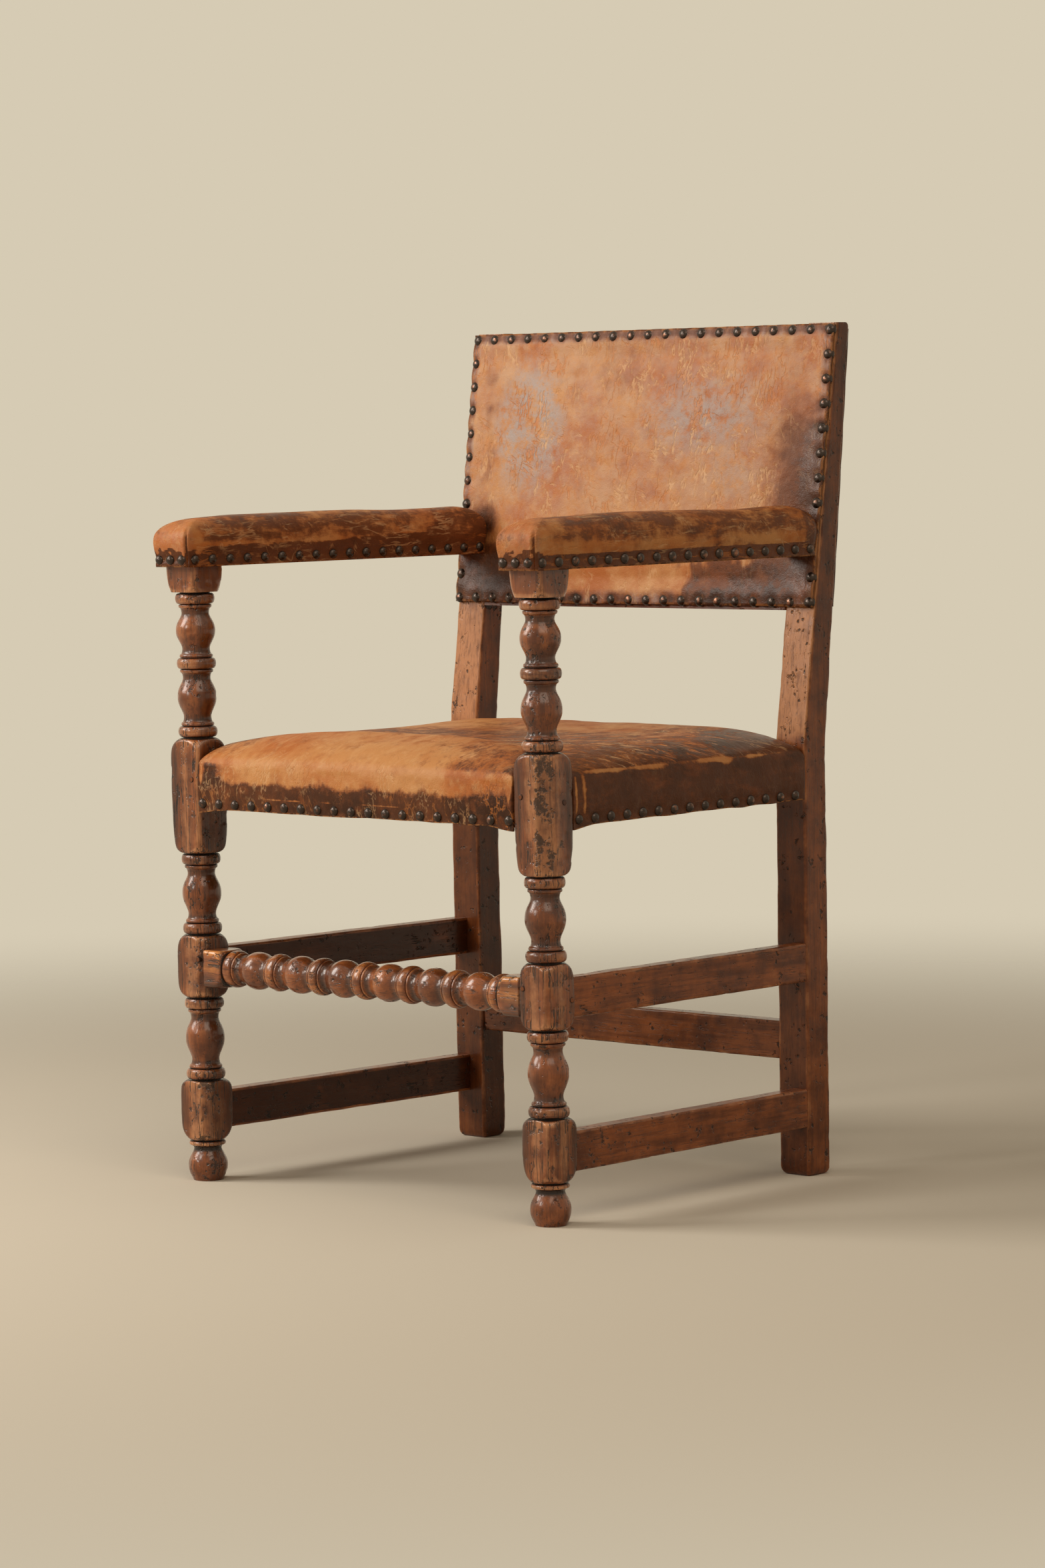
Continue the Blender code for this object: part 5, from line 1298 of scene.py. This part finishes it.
def back_seats(surface, lean, half_width, foot, top, pitch, hidden):
    """Nails round a back panel, as (place, way it faces), with none where they would be hidden."""
    seats = []
    for z in (foot, top):
        for point in row_points((-half_width(z), 0, z), (half_width(z), 0, z), pitch):
            seats.append(((point[0], float(surface(z)), z), lean))
    for _, _, z in row_points((0, 0, foot), (0, 0, top), pitch)[1:-1]:
        if not hidden(z):
            seats += [((sign * float(half_width(z)), float(surface(z)), z), lean) for sign in (-1, 1)]
    return seats


def back_swell(x, z):
    """How far the padded back stands forward of its nailed border."""
    half_opening = (BACK_TOP - BACK_FOOT) / 2 - BACK_RAIL
    middle = (BACK_TOP + BACK_FOOT) / 2
    across = np.minimum(1.0, np.abs(x) / (outside_of_post(z) - POST_WIDTH * 0.75))
    along = np.minimum(1.0, np.abs(z - middle) / (half_opening + BACK_RAIL * 0.3))
    return BACK_CROWN * (1 - across ** 4) * (1 - along ** 4)


def back_wear(x, z, to_border):
    """Patina of the back, dark by the nails and to the lower right, and painted sheen in two patches."""
    border = smooth(0.016, 0.006, to_border)
    right_side = smooth(0.130, 0.245, x) * smooth(0.885, 0.76, z)
    flat = flat_place(x, z)
    fray = noise(flat, 0.014, 525) + 0.6 * noise(flat, 0.006, 527)
    foot_right = smooth(0.058, 0.100, x + 0.026 * fray) * smooth(0.666, 0.647, z + 0.008 * fray)
    foot_left = smooth(-0.13, -0.17, x) * smooth(0.685, 0.655, z)
    foot_row = smooth(0.632, 0.608, z)
    by_arm = patch(np.abs(x), z, (0.225, 0.693), (0.030, 0.022))
    crown = 0.27 * patch(x, z, (-0.02, 0.858), (0.15, 0.050))
    torn = 0.75 + 0.5 * noise(flat_place(1.8 * x, z), 0.016, 521)
    smear = 0.36 * bump_at(x + 0.229, 0.018) * smooth(0.70, 0.75, z) * smooth(0.89, 0.84, z) * torn
    top_border = border * smooth(0.876, 0.888, z)
    patina = np.maximum.reduce([0.32 * border, 0.43 * top_border, 0.58 * right_side, 0.55 * foot_right,
                                0.62 * foot_left, 0.50 * foot_row * torn, 0.7 * by_arm, crown, smear])
    patina = patina - 0.14 * patch(x, z, (-0.02, 0.642), (0.11, 0.03))
    # Painted sheen: two patches, a lower one, the border and the upper part.
    left_patch = smooth(1.4, 0.5, np.hypot((x + 0.163) / 0.058, (z - 0.795) / 0.074))
    right_patch = patch(x, z, (0.095, 0.805), (0.100, 0.050))
    low_right = patch(x, z, (0.14, 0.745), (0.06, 0.05))
    upper_sheen = 0.25 * smooth(0.66, 0.72, z)
    painted_sheen = np.maximum.reduce([0.95 * left_patch, 0.90 * right_patch, 0.5 * low_right,
                               0.95 * border, upper_sheen])
    return patina, painted_sheen


def build_back():
    lean = (0.0, -1.0, LEAN / (HEIGHT - KINK_HEIGHT))

    def surface(z):
        return front_of_post(z) - BACK_COVER

    def nail_line(z):
        return outside_of_post(z) - BACK_MARGIN - BACK_NAIL_INSET

    def behind_arm(z):
        return 0.651 < z < 0.705

    seats = back_seats(surface, lean, nail_line, BACK_FOOT + BACK_NAIL_RISE, BACK_TOP - BACK_NAIL_DROP,
                       NAIL_PITCH, behind_arm)
    u = np.linspace(-1.0, 1.0, 150)
    u = np.sign(u) * np.abs(u) ** 0.92
    z_lines = np.linspace(BACK_FOOT, BACK_TOP, 92)
    z = np.repeat(z_lines[:, None], len(u), axis=1)
    x = u[None, :] * (outside_of_post(z) - BACK_MARGIN)
    frayed = 0.0006 * noise(flat_place(x, z), 0.03, 331)
    z[0] += frayed[0]
    points = np.stack([x, surface(z), z], axis=-1)
    to_border = np.minimum.reduce([outside_of_post(z) - BACK_MARGIN - np.abs(x), z - BACK_FOOT,
                                   BACK_TOP - z])
    pucker = near_nails(points, seats, PUCKER)
    swell = back_swell(x, z)
    band = bump_at(to_border - 0.010, 0.009)
    swell = swell + 0.0015 * band - 0.0021 * pucker * smooth(0.030, 0.004, to_border)
    swell = swell + 0.0006 * noise(points, 0.05, 337) * smooth(0.004, 0.02, to_border)
    swell = swell + 0.0006 * bump_at(to_border, 0.004) * (1 - pucker)
    arm_press = patch(np.abs(x), z, (0.235, 0.680), (0.026, 0.034))
    swell = swell - 0.004 * arm_press * smooth(0.0, 0.02, swell + 0.02)
    points[..., 1] -= swell

    patina, painted_sheen = back_wear(x, z, to_border)
    patina = patina + 0.25 * pucker
    raw = np.full(x.shape, 0.45)
    raw[1:-1, 1:-1] = 0.0
    scuff = (0.55 + 0.5 * painted_sheen) * (1 - 0.85 * smooth(0.25, 0.5, patina))
    leather = make_object("back_leather_cover", points.reshape(-1, 3), grid_faces(*x.shape, False),
                          BACK_HIDE, {"patina": patina, "painted_sheen": painted_sheen, "raw": raw, "scuff": scuff})
    add_thickness(leather)
    finish_piece(leather, "leather", "back_leather", "back_padding")
    domed_nails("back_nails", driven(seats, 0.0006, (0.0, -1.0, 0.0)), 6, BACK_NAIL_SIZE)


def build_outside_back():
    """Leather that closes the rear, drawn tight between its nails."""
    slope = -(LEAN - POST_DEPTH + POST_TOP_DEPTH) / (HEIGHT - KINK_HEIGHT)

    def surface(z):
        return rear_of_post(z) + LINING

    def half_width(z):
        return outside_of_post(z) - OUTSIDE_MARGIN

    seats = back_seats(surface, (0.0, 1.0, slope), lambda z: half_width(z) - OUTSIDE_NAIL_INSET,
                       OUTSIDE_FOOT + OUTSIDE_NAIL_INSET, OUTSIDE_TOP - OUTSIDE_NAIL_INSET,
                       OUTSIDE_PITCH, lambda z: False)
    z = np.repeat(np.linspace(OUTSIDE_FOOT, OUTSIDE_TOP, 60)[:, None], 100, axis=1)
    x = np.linspace(-1.0, 1.0, 100)[None, :] * half_width(z)
    points = np.stack([x, surface(z), z], axis=-1)
    to_border = np.minimum.reduce([half_width(z) - np.abs(x), z - OUTSIDE_FOOT, OUTSIDE_TOP - z])
    points[..., 1] -= 0.0009 * near_nails(points, seats, 0.010)
    points[..., 1] -= 0.0008 * smooth(0.02, 0.10, to_border) * (1 + noise(points, 0.07, 351))
    patina = 0.60 + 0.35 * smooth(0.03, 0.005, to_border) + 0.1 * noise(points, 0.09, 353)
    leather = make_object("outside_back_leather", points.reshape(-1, 3), grid_faces(*x.shape, False),
                          BACK_HIDE, {"patina": patina, "scuff": np.full(x.shape, 0.12)})
    add_thickness(leather)
    finish_piece(leather, "leather", "back_outside_leather")
    domed_nails("outside_back_nails", driven(seats, 0.0012, (0.0, 1.0, 0.0)), 7)


# Arms

def arm_rear(z):
    return front_of_post(z) - BACK_COVER - 0.0007


def arm_axis_x(y):
    """X of an arm's middle line at a distance from the front legs' axis."""
    rear = outside_of_post(ARM_UNDERSIDE) - BACK_MARGIN - ARM_REAR_WIDTH / 2
    return mix(LEG_AXIS_X, rear, (y + ARM_FRONT) / (arm_rear(ARM_UNDERSIDE) + ARM_FRONT))


def arm_half(y):
    share = (y + ARM_FRONT) / (arm_rear(ARM_UNDERSIDE) + ARM_FRONT)
    return mix(ARM_FRONT_WIDTH, ARM_REAR_WIDTH, share) / 2


def arm_outline():
    """Plan of an arm as points round it, from its rear inner corner forward and back.

    Returns the points, and how far each is from the seam of the nearest front corner.
    """
    rear = float(arm_rear(ARM_UNDERSIDE))
    half = arm_half(-ARM_FRONT)
    side_ys = np.concatenate([np.linspace(rear - 0.003, -ARM_FRONT + 0.022, 92),
                              np.linspace(-ARM_FRONT + 0.020, -ARM_FRONT + 0.0072, 9)])

    def side(sign, ys):
        return [(arm_axis_x(y) + sign * arm_half(y), y, y + ARM_FRONT) for y in ys]

    def corner(sign, turn):
        return [(LEG_AXIS_X + sign * half - sign * ARM_CORNER * (1 - math.cos(a)),
                 -ARM_FRONT + ARM_CORNER * (1 - math.sin(a)), abs(a - math.pi / 4) * ARM_CORNER)
                for a in turn]

    across = np.linspace(-half + ARM_CORNER, half - ARM_CORNER, 18)[1:-1]
    line = side(-1, side_ys) + corner(-1, np.linspace(0.0, math.pi / 2, 9))
    line += [(LEG_AXIS_X + x, -ARM_FRONT, half - abs(x)) for x in across]
    line += corner(1, np.linspace(math.pi / 2, 0.0, 9)) + side(1, side_ys[::-1])
    line += [(arm_axis_x(rear) + share * arm_half(rear), rear, 1.0)
             for share in (0.8, 0.45, 0.0, -0.45, -0.8)]
    line = np.array(line)
    return line[:, :2], line[:, 2]


def arm_nail_seats():
    """Nails along both sides of the right arm and three on its front."""
    z = ARM_UNDERSIDE + ARM_NAIL_RISE
    start = -ARM_FRONT + ARM_NAIL_INSET
    end = float(arm_rear(z)) - ARM_NAIL_INSET
    seats = []
    for sign in (-1, 1):
        ends = [(arm_axis_x(y) + sign * arm_half(y), y, z) for y in (start, end)]
        seats += [(point, (sign, 0.0, 0.0)) for point in row_points(*ends)]
    seats += [((LEG_AXIS_X + step * ARM_FRONT_PITCH, -ARM_FRONT, z), (0.0, -1.0, 0.0))
              for step in (-1, 0, 1)]
    return seats


def arm_wear(y, up, inner, rear, ragged):
    """Patina of an arm: tan in front and low outside, dark on top and along the nails; inside and at
    its rear end, patina and painted shade.
    """
    front_pad = smooth(0.050, 0.004, y + ARM_FRONT)
    top = smooth(0.30, 0.58, up + 0.04 * ragged) * (1 - 0.55 * front_pad)
    toward_rear = smooth(0.10, 0.30, y)
    hem = smooth(0.29, 0.25, up + (0.02 + 0.12 * front_pad) * ragged - 0.03 * front_pad)
    # Inside and at the rear end the arm darkens with patina and painted shade.
    inner_shade_and_patina = smooth(0.44, 0.34, up + 0.04 * ragged - 0.12 * smooth(0.12, 0.32, y))
    inner_shade_and_patina = 0.8 * inner * inner_shade_and_patina * (1 - front_pad)
    rear_shade_and_patina = smooth(rear - mix(0.035, 0.075, inner), rear - 0.012, y + 0.008 * ragged)
    low = 0.20 - 0.42 * front_pad
    return np.maximum.reduce([(0.47 - 0.04 * toward_rear) * top, 0.85 * hem, 0.8 * rear_shade_and_patina,
                              inner_shade_and_patina, low])


def arm_rings(outline, seam_distance, seats, seed):
    """Rings of an arm pad: up its side, then over its rounded shoulder to its spine."""
    rear = outline[:, 1].max()
    spine_y = np.clip(outline[:, 1], -ARM_FRONT + 0.046, rear - 0.020)
    spine = np.c_[arm_axis_x(spine_y), spine_y]
    outward = outline - spine
    outward /= np.linalg.norm(outward, axis=1, keepdims=True)
    shoulder = ARM_UNDERSIDE + ARM_SIDE_HEIGHT
    crown = ARM_PAD_HEIGHT - ARM_SIDE_HEIGHT
    seam = 0.0016 * bump_at(seam_distance, SEAM_WIDTH)
    lap = 0.0006 * bump_at(seam_distance - SEAM_LAP, SEAM_LAP_REACH)
    rings = []
    for z in np.linspace(ARM_UNDERSIDE - 0.0003, shoulder, 15):
        up = (z - ARM_UNDERSIDE) / ARM_SIDE_HEIGHT
        place = np.c_[outline, np.full(len(outline), z)]
        bulge = ARM_BULGE * smooth(0.22, 0.95, up) + 0.0007 * bump_at(up - 0.10, 0.12)
        bulge = bulge - 0.0011 * near_nails(place, seats, 0.0080) + 0.0005 * noise(place, 0.024, seed)
        place[:, :2] += outward * (bulge - seam + lap)[:, None]
        rings.append(place)
    for a in np.linspace(0.0, math.pi / 2, 17)[1:]:
        across = math.cos(a) ** 0.88
        rise = math.sin(a) ** 0.88
        place = np.c_[mix(spine, outline + outward * ARM_BULGE, across), np.zeros(len(outline))]
        y = place[:, 1]
        sag = 0.0030 * smooth(0.10, -0.02, y) + 0.004 * smooth(rear - 0.035, rear, y)
        sag = sag + 0.0018 * bump_at(y - rear + 0.115, 0.055)
        place[:, 2] = shoulder + (crown - sag) * rise
        place[:, 2] += 0.0007 * noise(place, 0.045, seed + 3) * rise
        place[:, :2] += outward * (smooth(0.62, 0.35, rise) * (lap - seam))[:, None]
        rings.append(place)
    return np.array(rings)


def build_arm(side):
    outline, seam_distance = arm_outline()
    seats = arm_nail_seats()
    seed = 401 if side == "left" else 431
    rings = arm_rings(outline, seam_distance, seats, seed)
    grid = mirrored(rings, side)
    x, y, z = np.moveaxis(rings, -1, 0)
    up = (z - ARM_UNDERSIDE) / ARM_PAD_HEIGHT
    seam_dark = np.tile(bump_at(seam_distance, 0.0010), (len(rings), 1)) * smooth(0.66, 0.56, up)
    inner = smooth(0.004, 0.016, arm_axis_x(y) - x)
    ragged = 0.5 * noise(grid, 0.013, seed + 7) + 0.8 * noise(grid, 0.005, seed + 8)
    patina = arm_wear(y, up, inner, outline[:, 1].max(), ragged)
    patina = np.maximum(patina + 0.12 * noise(grid, 0.030, seed + 5), seam_dark)
    patina = patina + 0.3 * near_nails(rings, seats, 0.006)
    raw = np.zeros(x.shape)
    raw[0] = 0.6
    # The front pad gets a faint painted sheen.
    pad = make_object(f"arm_pad_{side}", grid.reshape(-1, 3), grid_faces(*x.shape, True), ARM_HIDE,
                      {"patina": patina, "raw": raw, "scuff": np.full(x.shape, 0.5),
                       "painted_sheen": 0.12 * smooth(0.012, 0.005, y + ARM_FRONT)})
    weld = pad.modifiers.new("spine", "WELD")
    weld.merge_threshold = 0.00005
    add_thickness(pad)
    finish_piece(pad, "leather", f"arm_leather_{side}", f"arm_stuffing_{side}")
    sunk = [(mirrored(seat, side), mirrored(np.asarray(facing), side))
            for seat, facing in driven(seats, NAIL_SINK)]
    domed_nails(f"arm_nails_{side}", sunk, 8 + len(side))


# Under the seat

def build_webbing():
    """Straps that pass over and under each other below the canvas."""
    straps = {node: local_box(node) for node in sorted(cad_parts) if node.startswith("webbing")}
    crossing = {way: [(low + high) / 2 for node, (low, high) in straps.items() if way in node]
                for way in ("across", "along")}
    for node, (low, high) in straps.items():
        axis = 0 if "across" in node else 1
        other = 1 - axis
        length = np.linspace(low[axis], high[axis], 110)
        width = np.linspace(low[other], high[other], 13)
        over = 1 if "across" in node else -1
        number = int(node[-1])
        lift = np.zeros(len(length))
        for index, centre in enumerate(crossing["along" if "across" in node else "across"]):
            passes = 1 if (index + number) % 2 else 0
            lift += over * passes * bump_at(length - centre[axis], 0.030)
        grid = np.zeros((len(length), len(width), 3))
        grid[..., axis] = length[:, None]
        grid[..., other] = width[None, :]
        grid[..., 2] = (low[2] + high[2]) / 2 + 0.0007 * lift[:, None]
        item = make_object(f"woven_{node}", grid.reshape(-1, 3),
                           grid_faces(*grid.shape[:2], False), WEBBING)
        add_thickness(item, 0.0010)
        finish_piece(item, "canvas", node)


def finish_canvas(node, points, faces):
    item = make_object(f"{node}_cloth", points, faces, CANVAS)
    add_thickness(item, 0.0006)
    finish_piece(item, "canvas", node)


def build_seat_canvas():
    """Canvas drawn tight under the seat, cut round the legs and rippled a little."""
    plan, *corner = seat_grid()
    keep, faces = notched_sheet(*plan.shape[:2], *corner)
    middle = np.array([0.0, (SEAT_REAR - SEAT_BLOCK / 2) / 2])
    flat = middle + 0.985 * (np.array([plan[place] for place in keep]) - middle)
    points = np.c_[flat, np.full(len(flat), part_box("seat_canvas")[1].z)]
    slack = (1 - (flat[:, 0] / LEG_AXIS_X) ** 4).clip(0) * smooth(0.0, 0.05, flat[:, 1])
    points[:, 2] += 0.0004 * slack * (1 + noise(points, 0.05, 361))
    finish_canvas("seat_canvas", points, faces)


def build_back_canvas():
    """Canvas drawn tight over the back's opening, bellied a little in its middle."""
    low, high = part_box("back_canvas")
    across, z = np.meshgrid(np.linspace(-1.0, 1.0, 84), np.linspace(low.z, high.z, 60))
    x = across * (outside_of_post(z) - BACK_MARGIN - 0.003)
    along = 2 * (z - low.z) / (high.z - low.z) - 1
    slack = (1 - across ** 4) * (1 - along ** 4)
    belly = 0.0004 * slack * (1 + noise(flat_place(x, z), 0.05, 363))
    points = np.stack([x, front_of_post(z) - 0.0008 - belly, z], axis=-1)
    finish_canvas("back_canvas", points.reshape(-1, 3), grid_faces(*x.shape, False))


# Stage
FLOOR_RADIUS = 9.0
FLOOR_COLOUR = srgb(222, 211, 192)
BACKDROP_COLOUR = srgb(214, 203, 180)
AMBIENT_COLOUR = srgb(240, 226, 202)
AMBIENT = 0.15


def build_floor():
    """Pale floor that fades into the backdrop away from the chair."""
    floor_mesh = bpy.data.meshes.new("floor")
    edit = bmesh.new()
    bmesh.ops.create_circle(edit, cap_ends=True, segments=96, radius=FLOOR_RADIUS)
    edit.to_mesh(floor_mesh)
    edit.free()
    floor = bpy.data.objects.new("floor", floor_mesh)
    bpy.context.scene.collection.objects.link(floor)
    graph = Graph("pale_floor")
    distance = graph.node("ShaderNodeVectorMath", {"operation": "LENGTH"})
    graph.feed(distance.inputs[0], graph.coords)
    away = graph.step(distance.outputs["Value"], 0.9, 2.8)
    graph.shade(Base_Color=FLOOR_COLOUR, Roughness=0.9, Specular_IOR_Level=0.1)
    clear = graph.node("ShaderNodeBsdfTransparent")
    fade = graph.node("ShaderNodeMixShader")
    graph.feed(fade.inputs[0], away)
    graph.feed(fade.inputs[1], graph.shader.outputs[0])
    graph.feed(fade.inputs[2], clear.outputs[0])
    output = graph.tree.nodes["Material Output"]
    graph.feed(output.inputs["Surface"], fade.outputs[0])
    floor_mesh.materials.append(graph.material)


def build_backdrop():
    """Weak light from all round, and the plain backdrop that the camera and glossy faces see."""
    world = bpy.data.worlds.new("studio")
    bpy.context.scene.world = world
    world.use_nodes = True
    tree = world.node_tree
    ambient = tree.nodes["Background"]
    ambient.inputs["Color"].default_value = AMBIENT_COLOUR
    ambient.inputs["Strength"].default_value = AMBIENT
    backdrop = tree.nodes.new("ShaderNodeBackground")
    backdrop.inputs["Color"].default_value = BACKDROP_COLOUR
    ray = tree.nodes.new("ShaderNodeLightPath")
    seen = ray.outputs["Is Camera Ray"]
    for kind in ("Is Glossy Ray", "Is Transmission Ray"):
        either = tree.nodes.new("ShaderNodeMath")
        either.operation = "MAXIMUM"
        tree.links.new(seen, either.inputs[0])
        tree.links.new(ray.outputs[kind], either.inputs[1])
        seen = either.outputs[0]
    choose = tree.nodes.new("ShaderNodeMixShader")
    tree.links.new(seen, choose.inputs[0])
    tree.links.new(ambient.outputs[0], choose.inputs[1])
    tree.links.new(backdrop.outputs[0], choose.inputs[2])
    tree.links.new(choose.outputs[0], tree.nodes["World Output"].inputs["Surface"])


def add_area_light(name, direction, distance, width, height, power, colour):
    """Soft lamp at a distance from the chair's middle, facing it."""
    target = Vector((0.0, 0.0, HEIGHT / 2))
    way = Vector(direction).normalized()
    lamp = bpy.data.lights.new(name, "AREA")
    lamp.shape = "RECTANGLE"
    lamp.size = width
    lamp.size_y = height
    lamp.energy = power
    lamp.color = colour[:3]
    item = bpy.data.objects.new(name, lamp)
    item.location = target + way * distance
    item.rotation_euler = (-way).to_track_quat("-Z", "Y").to_euler()
    bpy.context.scene.collection.objects.link(item)


# A window and a lower pane to the camera's left, and weak light from in front and above: the way to
# each lamp, its distance, width, height, power and colour
LAMPS = {
    "window": ((-0.726, -0.688, 0.60), 2.7, 1.1, 1.5, 47.0, srgb(255, 250, 242)),
    "pane": ((-0.253, -0.911, 0.326), 3.0, 0.5, 0.75, 13.0, srgb(255, 250, 242)),
    "room": ((0.80, -0.45, 0.95), 3.6, 2.4, 1.8, 32.0, srgb(255, 240, 220)),
    "ceiling": ((0.15, 0.10, 1.0), 2.8, 2.0, 2.0, 9.0, srgb(255, 248, 238)),
}


# Camera, solved from the chair's own edges in the photograph
CAMERA_PLACE = (3.6203, -3.5834, 0.8073)
CAMERA_WAY = (-0.68614, 0.72371, -0.07387)
CAMERA_ROLL = -1.09
CAMERA_FOCAL_PIXELS = 7441.3
PHOTO_SIZE = (1568, 2352)
SENSOR = 36.0


def build_camera():
    camera = bpy.data.cameras.new("camera")
    camera.sensor_fit = "AUTO"
    camera.sensor_width = SENSOR
    camera.lens = CAMERA_FOCAL_PIXELS * SENSOR / PHOTO_SIZE[1]
    item = bpy.data.objects.new("camera", camera)
    way = Vector(CAMERA_WAY).normalized()
    level = Vector((-way.y, way.x, 0.0)).normalized() * -1
    above = level.cross(way)
    roll = math.radians(CAMERA_ROLL)
    right = math.cos(roll) * level + math.sin(roll) * above
    up = -math.sin(roll) * level + math.cos(roll) * above
    turn = Matrix((right, up, -way)).transposed().to_4x4()
    item.matrix_world = Matrix.Translation(Vector(CAMERA_PLACE) + Vector(ORIGIN)) @ turn
    bpy.context.scene.collection.objects.link(item)
    bpy.context.scene.camera = item


def build_chair():
    for side in SIDES:
        build_front_leg(side)
        build_post(side)
        for level in ("upper", "lower"):
            build_side_stretcher(level, side)
        build_arm(side)
    for node in sorted(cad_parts):
        if node.startswith("peg"):
            build_peg(node)
    build_bobbin_stretcher()
    build_back_stretcher()
    dress_hidden_frame()
    build_seat()
    build_back()
    build_outside_back()
    build_webbing()
    build_seat_canvas()
    build_back_canvas()


build_chair()
build_floor()
build_backdrop()
for lamp_name, lamp in LAMPS.items():
    add_area_light(lamp_name, *lamp)
build_camera()
bpy.context.scene.view_settings.view_transform = "Standard"
